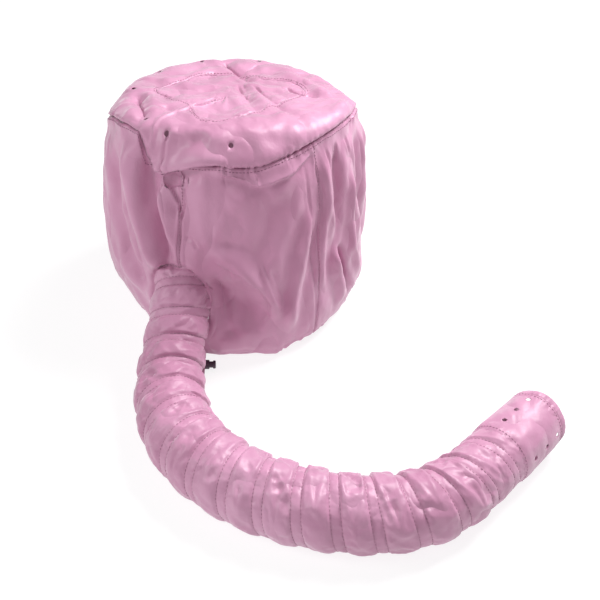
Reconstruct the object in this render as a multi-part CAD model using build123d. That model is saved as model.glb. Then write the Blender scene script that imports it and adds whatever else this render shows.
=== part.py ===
from build123d import *
import math
import os

# Soft bonnet dryer hood: a gathered fabric bonnet that is pulled over the hair, and a
# wire-coiled fabric hose that ends in a vented cuff for the nozzle of a hand dryer.
# Frame: millimetres, +Z up, the bonnet stands on Z = 0, its front faces -Y, and the
# origin is the centre of its footprint.

# ---- driving dimensions -------------------------------------------------------------
CLOTH = 0.8                      # plain solids stand in for a 0.15 mm woven fabric
THREAD_R = 0.5                   # seam thread, drawn as one continuous loop per seam
WALL_RADIUS = 142.5
RIM_RADIUS = 131.0
RING_RADIUS = 88.0
HEM_RADIUS = 124.0
CROWN_RISE = 6.5                 # the centre panel's dome above its own seam
SHIFT_X = -1.5                   # moves the bonnet so that its footprint is centred
SHIFT_Y = -0.1

HOSE_RADIUS = 33.0
HOSE_WALL = 0.8
HOSE_REST_Z = HOSE_RADIUS + 0.4  # height of the hose's centreline where it lies down
WIRE_RADIUS = 0.7                # spring steel
CHANNEL_RADIUS = 2.4
WIRE_PITCH = 33.0
POINTS_PER_TURN = 8

CUFF_LENGTH = 66.0
CUFF_END_RADIUS = 30.5
CUFF_HEM_LENGTH = 10.0
NOZZLE_BORE_RADIUS = 26.0
CUFF_VENT_RADIUS = 2.2
CROWN_VENT_RADIUS = 2.8

CUFF_VENT_COLUMNS_DEG = (-12, 78, 168, 258)   # from the top, + towards the outer side
CUFF_VENT_DISTANCES = (16, 36, 56)
CUFF_HEM_BEVEL = 2.0
CUFF_HEM_END_WALL = 3.0
CUFF_ELASTIC_RADIUS = 1.2
CUFF_ELASTIC_DISTANCE = 4.0      # from the hem's near edge

CORD_RADIUS = 1.2                # elastic drawstring
CORD_Z = 3.8
CASING_WIDTH = 9.6
CASING_HEIGHT = 9.0
CASING_CORNER = 1.5
CASING_CENTRE = HEM_RADIUS - 0.4 - CASING_WIDTH / 2

LOCK_RADIUS = 5.0
PRESS_TRAVEL = 3.5
LOCK_CHAMFER = 0.5
BUTTON_FILLET = 0.9
SPRING_LENGTH = 7.0
SPRING_PITCH = 1.5
SPRING_GAP = 0.1                 # left over at the spring's two ends together
SPRING_WIRE_R = 0.3
SPRING_COIL_R = 2.4
STEM_RADIUS = 3.4
WELL_RADIUS = 3.5
BUTTON_RADIUS = 4.4

BINDING_WIDTH = 6.0
BINDING_THICKNESS = 1.2
BINDING_INSET = CLOTH + 0.4
FAR = 600.0                      # larger than the whole object, for blocks that cut it
DRILL_LENGTH = 24.0              # longer than any wall that a hole goes through

# ---- rings of the bonnet: radius, centre x, y, z, and tilt in degrees ----------------
WALL_RINGS = [
    (HEM_RADIUS, 0, 0, 5, 0),
    (135.0, 0, 0, 11, 0),
    (141.0, 0, 1, 28, 0),
    (WALL_RADIUS, 1, 3, 60, 1),
    (WALL_RADIUS, 2, 6, 90, 1.5),
    (142.0, 2, 8.5, 120, 2.5),
    (140.5, 3, 11, 150, 3.5),
    (136.5, 4, 15, 193, 4.5),
    (RIM_RADIUS, 4, 17, 219, 5),
]
BORDER_RINGS = [
    (RIM_RADIUS, 4, 17, 219, 5),
    (128.5, 4, 17, 226, 6),
    (120.0, 4, 18, 236, 9),
    (106.0, 4, 19, 243, 13),
    (RING_RADIUS, 4, 19, 244.5, 13),
]
LEFT_SEAM_DEG = -21.5            # measured from the front, + towards +X
RIGHT_SEAM_DEG = 40.0
VENT_RING = (122.5, 4, 18, 234, 8.5)
HEM_STITCH_RING = (HEM_RADIUS + 4, 0, 0, 6.8, 0)
CROWN_VENT_FIRST_DEG = -2.0
CROWN_VENT_STEP_DEG = -31.5
CROWN_VENT_COUNT = 8
VENT_LEAN = 0.7                  # how far a vent's axis leans up from pointing straight out
HOSE_TOP_RING = 5                # the left seam ends above the hose, at this ring of the wall
HEM_TOP_RING = 1                 # the right seam runs down to this ring

# ---- route of the hose's centreline, from inside the bonnet to the cuff --------------
HOSE_ROUTE = [
    (-42.8, -99.5, 99.9),
    (-49, -130, 76),
    (-54.5, -162, 53),
    (-58, -196, 39),
    (-57, -231, HOSE_REST_Z + 0.5),
    (-47, -267, HOSE_REST_Z),
    (-29, -301, HOSE_REST_Z),
    (3, -334, HOSE_REST_Z),
    (45, -359, HOSE_REST_Z),
    (90, -374, HOSE_REST_Z),
    (138, -380, HOSE_REST_Z),
    (181, -376, HOSE_REST_Z),
    (214, -359, HOSE_REST_Z),
    (241, -333, HOSE_REST_Z),
    (265, -306, HOSE_REST_Z),
]

# ---- drawstring tails: out of the hem, through the cord lock, round under the hose ---
TAIL_A_X = -30.3
TAIL_B_X = -27.7
TAIL_A_ROUTE = [
    (TAIL_A_X, -115, CORD_Z),
    (TAIL_A_X - 0.2, -136, CORD_Z + 0.3),
    (TAIL_A_X, -162, CORD_Z - 0.2),
    (TAIL_A_X - 3.5, -170, 1.7),
    (TAIL_A_X - 11.5, -172.5, CORD_RADIUS + 0.1),
    (TAIL_A_X - 19.5, -168.5, CORD_RADIUS + 0.1),
    (TAIL_A_X - 24.5, -161.5, 2.2),
]
TAIL_B_ROUTE = [
    (TAIL_B_X, -115, CORD_Z),
    (TAIL_B_X - 0.2, -137, CORD_Z + 0.3),
    (TAIL_B_X, -165, CORD_Z - 0.2),
    (TAIL_B_X - 4, -174, 1.7),
    (TAIL_B_X - 14, -177, CORD_RADIUS + 0.1),
    (TAIL_B_X - 24, -172, CORD_RADIUS + 0.1),
    (TAIL_B_X - 30, -163, 2.4),
]
KNOT_CENTRE = (-57.5, -158.5, 3.6)
KNOT_RADIUS = 3.5
LOCK_Y = -146.0

# ---- stations along the cord lock's axis --------------------------------------------------
SLOT_LEFT = TAIL_A_X - CORD_RADIUS - 0.4
SLOT_RIGHT = TAIL_B_X + CORD_RADIUS + 0.4
SLOT_HEIGHT = 2 * CORD_RADIUS + 1.2
LOCK_MOUTH_X = SLOT_RIGHT + PRESS_TRAVEL + 0.6
STEM_END_X = SLOT_LEFT - 2.2
WELL_END_X = STEM_END_X - SPRING_LENGTH
LOCK_END_X = WELL_END_X - 1.5
BUTTON_BACK_X = LOCK_MOUTH_X + PRESS_TRAVEL + 0.3
BUTTON_FRONT_X = BUTTON_BACK_X + 3.0

os.makedirs("parts", exist_ok=True)


def shifted(point):
    """A point of a route, moved with the bonnet onto the centre of its footprint."""
    x, y, z = point
    return Vector(x + SHIFT_X, y + SHIFT_Y, z)


def save(node, shape):
    shape.label = node
    export_step(shape, f"parts/{node}.step")
    print(f"{node}: volume {shape.volume:.0f} mm3")


# ---- bonnet ----------------------------------------------------------------------------
def ring_plane(ring, lower=0.0):
    """The plane of a ring, moved down along its own normal by lower."""
    _, x, y, z, tilt = ring
    angle = math.radians(tilt)
    normal = Vector(0, math.sin(angle), math.cos(angle))
    origin = shifted((x, y, z)) - normal * lower
    return Plane(origin=origin, x_dir=(1, 0, 0), z_dir=normal)


def ring_loft(rings, inset=0.0, lower=0.0):
    """A closed solid through the rings, with straight sides from each to the next."""
    faces = [ring_plane(ring, lower) * Circle(ring[0] - inset) for ring in rings]
    return loft(faces, ruled=True)


def ring_point(ring, degrees, outward=0.0):
    """The point of a ring at an angle from the front, a little outside it."""
    angle = math.radians(degrees)
    radius = ring[0] + outward
    local = Vector(radius * math.sin(angle), -radius * math.cos(angle), 0)
    return ring_plane(ring).from_local_coords(local)


def wedge(start_deg, end_deg):
    """A block that covers the front of the bonnet between two angles."""
    first = (FAR * math.sin(math.radians(start_deg)), -FAR * math.cos(math.radians(start_deg)))
    last = (FAR * math.sin(math.radians(end_deg)), -FAR * math.cos(math.radians(end_deg)))
    centre = shifted((0, 0, 0))
    outline = Polygon((0, 0), first, last, align=None)
    return Pos(centre.X, centre.Y, 0) * extrude(outline, FAR / 2, both=True)


def tangent_path(points):
    """Straight runs joined by arcs, each arc as large as its two runs allow."""
    vectors = [Vector(*p) for p in points]
    radii = []
    for before, corner, after in zip(vectors, vectors[1:], vectors[2:]):
        turn = math.radians((corner - before).get_angle(after - corner))
        shorter = min((corner - before).length, (after - corner).length)
        radii.append(0.45 * shorter / math.tan(turn / 2))
    return FilletPolyline(*vectors, radius=radii), radii


def tube_along(path, radius, bore=0.0):
    """A round tube or rod that follows a path."""
    start = Plane(origin=path @ 0, z_dir=path % 0)
    section = Circle(radius)
    if bore:
        section = section - Circle(bore)
    return sweep(start * section, path=path)


def report_tube(node, shape, path, radius, bore, radii):
    """Print the arc radii, and the volume against section times length."""
    ideal = math.pi * (radius ** 2 - bore ** 2) * path.length
    print(f"{node}: length {path.length:.1f}, radii {' '.join(f'{value:.0f}' for value in radii)}")
    print(f"{node}: volume / (section x length) = {shape.volume / ideal:.4f}")


hose_route = [shifted(point) for point in HOSE_ROUTE]
hose_path, hose_radii = tangent_path(hose_route)
hose_core = tube_along(hose_path, HOSE_RADIUS)

bonnet_rings = WALL_RINGS + BORDER_RINGS[1:]
bonnet_outside = ring_loft(bonnet_rings)
bonnet_inside = ring_loft(bonnet_rings, inset=CLOTH, lower=CLOTH)
bonnet_shell = bonnet_outside - bonnet_inside
rim_plane = ring_plane(WALL_RINGS[-1])
above_rim = rim_plane * Pos(0, 0, FAR / 2) * Box(FAR, FAR, FAR)

wall_shell = bonnet_shell - above_rim - hose_core
front_wedge = wedge(LEFT_SEAM_DEG, RIGHT_SEAM_DEG)
save("wall_front_panel", wall_shell & front_wedge)
save("wall_main_panel", wall_shell - front_wedge)

border = bonnet_shell & above_rim
for index in range(CROWN_VENT_COUNT):
    degrees = CROWN_VENT_FIRST_DEG + index * CROWN_VENT_STEP_DEG
    centre = ring_point(VENT_RING, degrees)
    outward = (centre - ring_plane(VENT_RING).origin).normalized() + Vector(0, 0, VENT_LEAN)
    border -= Plane(origin=centre, z_dir=outward) * Cylinder(CROWN_VENT_RADIUS, DRILL_LENGTH)
save("crown_border_panel", border)


def crown_centre_panel():
    """A low dome that sits on the border's inner edge."""
    ball_radius = (RING_RADIUS ** 2 + CROWN_RISE ** 2) / (2 * CROWN_RISE)
    ball_centre = CROWN_RISE - ball_radius
    cap = Pos(0, 0, ball_centre) * (Sphere(ball_radius) - Sphere(ball_radius - CLOTH))
    cap = cap & Pos(0, 0, CROWN_RISE / 2) * Cylinder(RING_RADIUS, CROWN_RISE + 2 * CLOTH)
    return ring_plane(BORDER_RINGS[-1], lower=-CLOTH) * cap


save("crown_centre_panel", crown_centre_panel())


def ring_thread(ring, raised=0.0):
    """A closed loop of seam thread that lies on the outside of a ring."""
    return ring_plane(ring, lower=-raised) * Torus(ring[0] + THREAD_R, THREAD_R)


save("crown_seam_stitching", ring_thread(WALL_RINGS[-1]))
save("crown_ring_stitching", ring_thread(BORDER_RINGS[-1], raised=THREAD_R))
save("hem_stitching", ring_thread(HEM_STITCH_RING))


def wall_seam_thread(degrees, lowest_ring):
    """Seam thread that runs up the wall at one angle."""
    points = [ring_point(ring, degrees, outward=THREAD_R + 0.2) for ring in WALL_RINGS[lowest_ring:]]
    path, _ = tangent_path(points)
    return tube_along(path, THREAD_R)


save("wall_left_seam_stitching", wall_seam_thread(LEFT_SEAM_DEG, HOSE_TOP_RING))
save("wall_right_seam_stitching", wall_seam_thread(RIGHT_SEAM_DEG, HEM_TOP_RING))


# ---- hem and drawstring ------------------------------------------------------------------
def hem_casing():
    """A flat-bottomed fabric tube round the mouth, with a hole for each tail."""
    outer = RectangleRounded(CASING_WIDTH, CASING_HEIGHT, CASING_CORNER)
    inner = RectangleRounded(CASING_WIDTH - 2 * CLOTH, CASING_HEIGHT - 2 * CLOTH, CASING_CORNER - CLOTH)
    section = Plane.XZ * Pos(CASING_CENTRE, CASING_HEIGHT / 2) * (outer - inner)
    casing = revolve(section, Axis.Z)
    centre = shifted((0, 0, 0))
    casing = Pos(centre.X, centre.Y, 0) * casing
    for x in (TAIL_A_X, TAIL_B_X):
        start = shifted((x, -HEM_RADIUS, CORD_Z))
        casing -= Pos(start) * Rot(90, 0, 0) * Cylinder(CORD_RADIUS + 0.3, DRILL_LENGTH / 2)
    return casing


def drawstring():
    """The elastic cord inside the casing, open where its two tails leave."""
    def tail_angle(x):
        return math.degrees(math.asin(x / CASING_CENTRE))

    gap = tail_angle(TAIL_B_X) - tail_angle(TAIL_A_X)
    section = Plane.XZ * Pos(CASING_CENTRE, CORD_Z) * Circle(CORD_RADIUS)
    loop = revolve(section, Axis.Z, revolution_arc=360 - gap)
    centre = shifted((0, 0, 0))
    return Pos(centre.X, centre.Y, 0) * Rot(0, 0, -90 + tail_angle(TAIL_B_X)) * loop


save("hem_casing", hem_casing())
save("drawstring", drawstring())

for node, route in (("drawstring_tail_left", TAIL_A_ROUTE), ("drawstring_tail_right", TAIL_B_ROUTE)):
    tail_path, tail_radii = tangent_path([shifted(point) for point in route])
    tail = tube_along(tail_path, CORD_RADIUS)
    save(node, tail)
    report_tube(node, tail, tail_path, CORD_RADIUS, 0, tail_radii)

save("drawstring_knot", Pos(shifted(KNOT_CENTRE)) * Sphere(KNOT_RADIUS))


# ---- cord lock: lies on its side, its plunger presses along -X ---------------------------
def along_x(start_x, end_x, radius):
    """A round bar on the cord lock's axis."""
    centre = shifted(((start_x + end_x) / 2, LOCK_Y, LOCK_RADIUS))
    return Pos(centre) * Rot(0, 90, 0) * Cylinder(radius, end_x - start_x)


def cord_slot(start_x, end_x):
    """A flat hole through the lock that both tails share."""
    centre = shifted(((start_x + end_x) / 2, LOCK_Y, CORD_Z + 0.2))
    return Pos(centre) * Box(end_x - start_x, 4 * LOCK_RADIUS, SLOT_HEIGHT)


barrel = along_x(LOCK_END_X, LOCK_MOUTH_X, LOCK_RADIUS)
barrel = chamfer(barrel.edges().filter_by(GeomType.CIRCLE), LOCK_CHAMFER)
barrel -= along_x(WELL_END_X, LOCK_MOUTH_X + 1, WELL_RADIUS)
barrel -= cord_slot(SLOT_LEFT, SLOT_RIGHT)
save("cord_lock_barrel", barrel)

button = along_x(BUTTON_BACK_X, BUTTON_FRONT_X, BUTTON_RADIUS)
button = fillet(button.edges().filter_by(GeomType.CIRCLE), BUTTON_FILLET)
plunger = along_x(STEM_END_X, BUTTON_BACK_X + 1, STEM_RADIUS) + button
plunger -= cord_slot(SLOT_LEFT, SLOT_RIGHT + PRESS_TRAVEL)
save("cord_lock_plunger", plunger)

spring_height = SPRING_LENGTH - 2 * SPRING_WIRE_R - SPRING_GAP
spring_line = Helix(pitch=SPRING_PITCH, height=spring_height, radius=SPRING_COIL_R)
spring = sweep(Plane(origin=spring_line @ 0, z_dir=spring_line % 0) * Circle(SPRING_WIRE_R), path=spring_line)
spring_start = shifted((WELL_END_X + SPRING_WIRE_R + SPRING_GAP / 2, LOCK_Y, LOCK_RADIUS))
save("cord_lock_spring", Pos(spring_start) * Rot(0, 90, 0) * spring)

# ---- hose ----------------------------------------------------------------------------------
sleeve_whole = tube_along(hose_path, HOSE_RADIUS, HOSE_RADIUS - HOSE_WALL)
report_tube("hose_sleeve", sleeve_whole, hose_path, HOSE_RADIUS, HOSE_RADIUS - HOSE_WALL, hose_radii)
save("hose_sleeve", sleeve_whole - bonnet_outside)


def coil_path(radius, first_length, last_length):
    """A coil that winds round the hose's centreline."""
    step = WIRE_PITCH / POINTS_PER_TURN
    count = int((last_length - first_length) / step)
    points = []
    for index in range(count + 1):
        at = (first_length + index * step) / hose_path.length
        centre = hose_path @ at
        along = hose_path % at
        side = along.cross(Vector(0, 0, 1)).normalized()
        up = side.cross(along)
        turn = math.tau * index / POINTS_PER_TURN
        points.append(centre + side * (radius * math.cos(turn)) - up * (radius * math.sin(turn)))
    path, _ = tangent_path(points)
    return path


COIL_RADIUS = HOSE_RADIUS - HOSE_WALL - CHANNEL_RADIUS - 0.3
COIL_START = 62.0                # past the wall, measured along the hose
COIL_END = hose_path.length - 8.0
wire_line = coil_path(COIL_RADIUS, COIL_START, COIL_END)
save("hose_wire", tube_along(wire_line, WIRE_RADIUS))
save("hose_wire_channel", tube_along(wire_line, CHANNEL_RADIUS, WIRE_RADIUS + 0.2))


def wall_ring(near_inset, far_inset, reach):
    """A thin ring round the hose's hole, between two offsets of the bonnet's skin."""
    band = ring_loft(bonnet_rings, inset=near_inset) - ring_loft(bonnet_rings, inset=far_inset)
    outside_ring = band - tube_along(hose_path, HOSE_RADIUS + reach)
    return (band - outside_ring) - hose_core


save("hose_seam_binding", wall_ring(BINDING_INSET, BINDING_INSET + BINDING_THICKNESS, BINDING_WIDTH))
save("hose_seam_stitching", wall_ring(-2 * THREAD_R, 0, 2 * THREAD_R))

# ---- cuff ------------------------------------------------------------------------------------
cuff_start = hose_route[-1]
cuff_axis = hose_path % 1
cuff_side = cuff_axis.cross(Vector(0, 0, 1)).normalized()
cuff_plane = Plane(origin=cuff_start, x_dir=cuff_side, z_dir=cuff_axis)


def turned(points):
    """A body of revolution about the cuff's axis, from (radius, distance) points."""
    profile = Plane.XZ * Polygon(*points, align=None)
    return cuff_plane * revolve(profile, Axis.Z)


cuff = turned([
    (HOSE_RADIUS, 0),
    (CUFF_END_RADIUS, CUFF_LENGTH),
    (CUFF_END_RADIUS - HOSE_WALL, CUFF_LENGTH),
    (HOSE_RADIUS - HOSE_WALL, 0),
])
for column in CUFF_VENT_COLUMNS_DEG:
    for distance in CUFF_VENT_DISTANCES:
        drill = Pos(0, 0, HOSE_RADIUS) * Cylinder(CUFF_VENT_RADIUS, DRILL_LENGTH)
        cuff -= cuff_plane * Pos(0, 0, distance) * Rot(0, 0, 90 - column) * Rot(0, 90, 0) * drill
save("inlet_cuff", cuff)

hem_start = CUFF_LENGTH
hem_end = CUFF_LENGTH + CUFF_HEM_LENGTH
hem = turned([
    (CUFF_END_RADIUS, hem_start),
    (CUFF_END_RADIUS, hem_end - CUFF_HEM_BEVEL),
    (CUFF_END_RADIUS - CUFF_HEM_BEVEL, hem_end),
    (NOZZLE_BORE_RADIUS, hem_end),
    (NOZZLE_BORE_RADIUS, hem_start),
])
hem_hollow = turned([
    (CUFF_END_RADIUS - HOSE_WALL, hem_start + HOSE_WALL),
    (CUFF_END_RADIUS - HOSE_WALL, hem_end - CUFF_HEM_END_WALL),
    (NOZZLE_BORE_RADIUS + HOSE_WALL, hem_end - CUFF_HEM_END_WALL),
    (NOZZLE_BORE_RADIUS + HOSE_WALL, hem_start + HOSE_WALL),
])
save("cuff_hem", hem - hem_hollow)
elastic_radius = (CUFF_END_RADIUS + NOZZLE_BORE_RADIUS) / 2
elastic_plane = cuff_plane * Pos(0, 0, hem_start + CUFF_ELASTIC_DISTANCE)
save("cuff_elastic", elastic_plane * Torus(elastic_radius, CUFF_ELASTIC_RADIUS))
save("cuff_seam_stitching", cuff_plane * Torus(HOSE_RADIUS + THREAD_R, THREAD_R))
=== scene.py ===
import math

import bmesh
import bpy
import numpy as np
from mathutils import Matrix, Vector, bvhtree, kdtree, noise


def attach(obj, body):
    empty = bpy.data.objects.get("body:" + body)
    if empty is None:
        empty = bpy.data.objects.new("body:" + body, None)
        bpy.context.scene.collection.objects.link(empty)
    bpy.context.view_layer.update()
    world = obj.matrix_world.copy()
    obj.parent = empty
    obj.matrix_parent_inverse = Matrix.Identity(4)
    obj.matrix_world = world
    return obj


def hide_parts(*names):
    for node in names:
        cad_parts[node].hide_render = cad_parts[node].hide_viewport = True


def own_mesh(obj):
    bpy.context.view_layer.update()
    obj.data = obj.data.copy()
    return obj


# Soft bonnet dryer hood: a gathered taffeta bonnet, a wire-coiled hose and a vented cuff.
# Metres, in the frame's own axes: +Z up, the bonnet's front faces -Y.
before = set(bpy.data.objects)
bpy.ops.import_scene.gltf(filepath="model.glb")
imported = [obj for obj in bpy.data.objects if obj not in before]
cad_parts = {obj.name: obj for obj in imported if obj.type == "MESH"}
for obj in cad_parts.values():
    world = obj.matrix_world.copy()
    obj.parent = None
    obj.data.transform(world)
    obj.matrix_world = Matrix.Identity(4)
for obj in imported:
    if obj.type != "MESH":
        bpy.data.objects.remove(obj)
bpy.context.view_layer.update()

MM = 0.001
SHIFT = np.array([-0.0015, -0.0001, 0.0])    # the bonnet's centre, as in the CAD
CLOTH_THICKNESS = 0.0004

# ---- the bonnet's rings: radius, centre x, y, z in mm, and tilt in degrees ---------------
RINGS = [
    (123.5, 0, 0, 4.6, 0),
    (130, 0, 0, 5.5, 0),
    (136, 0, 0, 12, 0),
    (141, 0, 1, 28, 0),
    (142.5, 1, 3, 60, 1),
    (142.5, 2, 6, 90, 1.5),
    (142, 2, 8.5, 120, 2.5),
    (140.5, 3, 11, 150, 3.5),
    (136.5, 4, 15, 193, 4.5),
    (131, 4, 17, 219, 5),
]
CROWN_PLANE = (4, 19, 243, 13)               # centre x, y, z in mm, and tilt in degrees
RIM_RADIUS = 131
CHART_RADIUS = RINGS[5][0]                   # the wall is charted flat as if it were this wide all over
COLUMNS = 288                                # 1.25 degrees each
WALL_ROWS = 66
BORDER_ROWS = 18
CENTRE_CELLS = COLUMNS // 4
LEFT_SEAM_DEG = -21.25
RIGHT_SEAM_DEG = 40.0
WALL_MAIN, WALL_FRONT, BORDER, CENTRE = range(4)

# By degrees from the front, in mm: how far the crown's seam stands above the wall's last ring,
SEAM_RISE = [
    (-180, 0), (-130, -3), (-94, -4), (-80, 7), (-68, 20), (-56, 26), (-46, 28), (-42.5, 27), (-38, -4),
    (-29, -10), (-18, -1), (-5, 6), (6, 2), (14, 3), (23, 8), (41, 16), (72, 17), (84, 12), (94, 3),
    (105, -10), (122, -20), (140, -17), (160, -7), (180, 0),
]
# how far the wall's low edge is drawn in, and how far it is lifted,
DRAWN_IN = [(-180, 0), (-112, 0), (-88, 9), (-64, 20), (-42, 17), (-24, 6), (-8, 0), (60, 0), (180, 0)]
LOW_EDGE = [(-180, 0), (-30, 0), (-12, 1), (4, 6), (18, 1.5), (34, 4), (50, 9), (70, 5), (95, 0), (180, 0)]
# the radius of the crown's inner seam, and the radius where the crown turns down to the wall
INNER_SEAM = [
    (-180, 78), (-155, 84), (-125, 82), (-92, 92), (-65, 78), (-42, 76), (-26, 92), (-14, 102), (2, 99),
    (17, 90), (40, 81), (61, 81), (85, 88), (120, 86), (150, 77), (180, 78),
]
SHOULDER = [
    (-180, 112), (-95, 104), (-50, 112), (-20, 108), (30, 108), (72, 122), (100, 100), (140, 104), (180, 112),
]

# ---- the hose's route: the CAD's own points, in metres ------------------------------------
HOSE_ROUTE = [
    (-0.0428, -0.0995, 0.0999),
    (-0.049, -0.130, 0.076),
    (-0.0545, -0.162, 0.053),
    (-0.058, -0.196, 0.039),
    (-0.057, -0.231, 0.0339),
    (-0.047, -0.267, 0.0334),
    (-0.029, -0.301, 0.0334),
    (0.003, -0.334, 0.0334),
    (0.045, -0.359, 0.0334),
    (0.090, -0.374, 0.0334),
    (0.138, -0.380, 0.0334),
    (0.181, -0.376, 0.0334),
    (0.214, -0.359, 0.0334),
    (0.241, -0.333, 0.0334),
    (0.265, -0.306, 0.0334),
]
HOSE_DIAMETER = 0.066
HOSE_START = 0.004                           # the sleeve begins this far along, inside the wall
HOSE_RADII = [(0, 29.5), (60, 30), (110, 31.5), (170, 34.5), (300, 35.5), (420, 35), (500, 33), (575, 31.5)]
PITCH = 0.033
ROWS_PER_TURN = 15
HOSE_COLUMNS = 96
CHANNEL_HALF = 0.0044
HOSE_SPARE = 1.02                            # cloth between two channels, against the gap
COIL_PHASE = 0.062                           # where a turn of the wire passes the hose's outer side
WIRE_RADIUS = 0.0007
WIRE_DEPTH = 0.0012                          # from the sleeve's radius to the wire's
LOWEST = 0.0003                              # cloth that lies down stays this far above the floor

# ---- the cuff: (distance past the sleeve, radius) in mm -------------------------------------
CUFF_PROFILE = [(-3, 31.2), (0, 32.2), (5, 33), (20, 33.2), (45, 32.4), (58, 31.6), (66, 30.6)]
CUFF_HEM_PROFILE = [
    (65.4, 30.3), (66.4, 30.7), (69, 30.5), (72, 29.8), (74.6, 28.6), (75.8, 27.2), (75, 26.3), (72, 26.1),
    (68, 26.1), (66.4, 26.8), (66, 29.8),
]
CUFF_GRID = (56, 160)                        # rows and columns
CUFF_HEM_GRID = (36, 240)
CUFF_SEAM = (2.0, 33)                        # distance and radius of each line of stitches
CUFF_TOPSTITCH = (64.2, 31)
CUFF_VENT_COLUMNS_DEG = (-12, 78, 168, 258)  # from the top, + towards the outer side
CUFF_VENT_DISTANCES = (16, 36, 56)
CUFF_VENT_RADIUS = 0.0024

# ---- hem, drawstring and vents -----------------------------------------------------------------
CASING_RADIUS = 0.1188
CASING_HALF_WIDTH = 0.0047
CASING_HALF_HEIGHT = 0.0043
CORD_RADIUS = 0.0012
CORD_HEIGHT = 0.0038
CASING_STATIONS = 900
BRAID_DEPTH = 0.00012
TAIL_SPACING = 0.0005
CASING_SIDES = 28
CASING_MIDDLE = 0.0046                       # height of the casing's middle above the floor
TAIL_A_ROUTE = [
    (-0.0303, -0.115, 0.0038),
    (-0.0305, -0.136, 0.0041),
    (-0.0303, -0.158, 0.0040),
    (-0.0303, -0.1635, 0.0038),
    (-0.0338, -0.170, 0.0017),
    (-0.0418, -0.1725, 0.0013),
    (-0.0498, -0.1685, 0.0013),
    (-0.0548, -0.1615, 0.0022),
]
TAIL_B_ROUTE = [
    (-0.0277, -0.115, 0.0038),
    (-0.0279, -0.137, 0.0041),
    (-0.0277, -0.160, 0.0040),
    (-0.0277, -0.166, 0.0038),
    (-0.0317, -0.174, 0.0017),
    (-0.0417, -0.177, 0.0013),
    (-0.0517, -0.172, 0.0013),
    (-0.0577, -0.163, 0.0024),
]
KNOT_SCALE = 0.00078
KNOT_CORD_RADIUS = 0.00112
KNOT_CENTRE = np.array([-0.0575, -0.1585, 0.0036])
SPRING_SEAT = np.array([-0.0411, -0.146, 0.005]) + SHIFT    # inside the cord lock
SPRING_LENGTH = 0.0069
SPRING_COIL = 0.0024
SPRING_WIRE = 0.0003
SPRING_COILS = 5
# Crown vents, as (x, y, radius) in mm: four that can be seen from the front and four behind
VENTS = [
    (-58, -86, 3.2), (6, -106, 2.6), (-80, -65, 2.2), (-102, 26, 2.5),
    (-82, 93, 2.5), (-38, 126, 2.5), (28, 130, 2.5), (86, 100, 2.5),
]


# ---- numbers --------------------------------------------------------------------------------
def through(table, at):
    """Values at `at` on a smooth curve through a table's (position, value) pairs."""
    x, y = np.array(table, float).T
    slope = np.gradient(y, x)
    k = np.clip(np.searchsorted(x, at) - 1, 0, len(x) - 2)
    h = x[k + 1] - x[k]
    t = np.clip((at - x[k]) / h, 0, 1)
    rest = 1 - t
    ends = y[k] * (1 + 2 * t) * rest**2 + y[k + 1] * t * t * (3 - 2 * t)
    return ends + h * (slope[k] * t * rest**2 - slope[k + 1] * t * t * rest)


def step(low, high, value):
    """0 below low, 1 above high, and smooth between them."""
    t = np.clip((value - low) / (high - low), 0, 1)
    return t * t * (3 - 2 * t)


def bell(distance, width):
    return np.exp(-((distance / width) ** 2))


def waves(points, size, seed):
    """Smooth noise from -1 to 1, with features of a given size along each axis."""
    scaled = np.asarray(points) / np.asarray(size)
    offset = np.array([7.3, 3.1, 5.7]) * seed
    return np.array([noise.noise(Vector(p)) for p in scaled + offset])


def distances(points):
    """How far along a line of points each of them is."""
    return np.concatenate([[0], np.cumsum(np.linalg.norm(np.diff(points, axis=0), axis=1))])


def at_distances(wanted, along, points):
    """Places at distances along a line of points, whose own distances are given."""
    return np.stack([np.interp(wanted, along, points[:, k]) for k in range(3)], -1)


def heading(theta):
    """Level unit vectors at angles from the front."""
    return np.stack([np.sin(theta), -np.cos(theta)], -1)


def bearing(points, x=0.0, y=0.0):
    """Angles of points from the front, seen from the bonnet's centre or from x, y beside it."""
    return np.arctan2(points[:, 0] - SHIFT[0] - x, -(points[:, 1] - SHIFT[1] - y))


def to_drawn_line(points, line):
    """Distance from 2-D points to a drawn line, signed + on its left, and the nearest spot from 0 to 1."""
    line = np.array(line, float)
    runs = np.linalg.norm(np.diff(line, axis=0), axis=1)
    before = np.concatenate([[0], np.cumsum(runs)])
    best = np.full(len(points), np.inf)
    signed = np.zeros(len(points))
    spot = np.zeros(len(points))
    for start, end, run, base in zip(line, line[1:], runs, before):
        ahead = (end - start) / run
        away = points - start
        t = np.clip(away @ ahead, 0, run)
        near = away - t[:, None] * ahead
        distance = np.linalg.norm(near, axis=1)
        side = np.sign(ahead[0] * away[:, 1] - ahead[1] * away[:, 0])
        closer = distance < best
        best = np.where(closer, distance, best)
        signed = np.where(closer, distance * side, signed)
        spot = np.where(closer, (base + t) / before[-1], spot)
    return signed, spot


def fold_heights(points, folds):
    """How far folds lift each 2-D point, in mm; each fold is (shape, width, height, line)."""
    total = np.zeros(len(points))
    for shape, width, height, line in folds:
        signed, spot = to_drawn_line(points, line)
        distance = np.abs(signed)
        taper = step(-0.02, 0.18, spot) * step(1.02, 0.82, spot)
        if shape == "ridge":
            profile = bell(distance, width) - 0.25 * bell(distance - 2.2 * width, width)
        elif shape == "valley":
            profile = -bell(distance, width) + 0.35 * bell(distance - 2 * width, width)
        elif shape == "hollow":
            profile = -bell(distance, width)
            taper = 1
        else:
            left = np.exp(-distance / (1.5 * width)) * step(0, 0.25 * width, distance)
            right = -0.45 * np.exp(-distance / (0.7 * width)) * step(0, 0.1 * width, distance)
            profile = np.where(signed > 0, left, right)
        total += height * profile * taper
    return total


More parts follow.
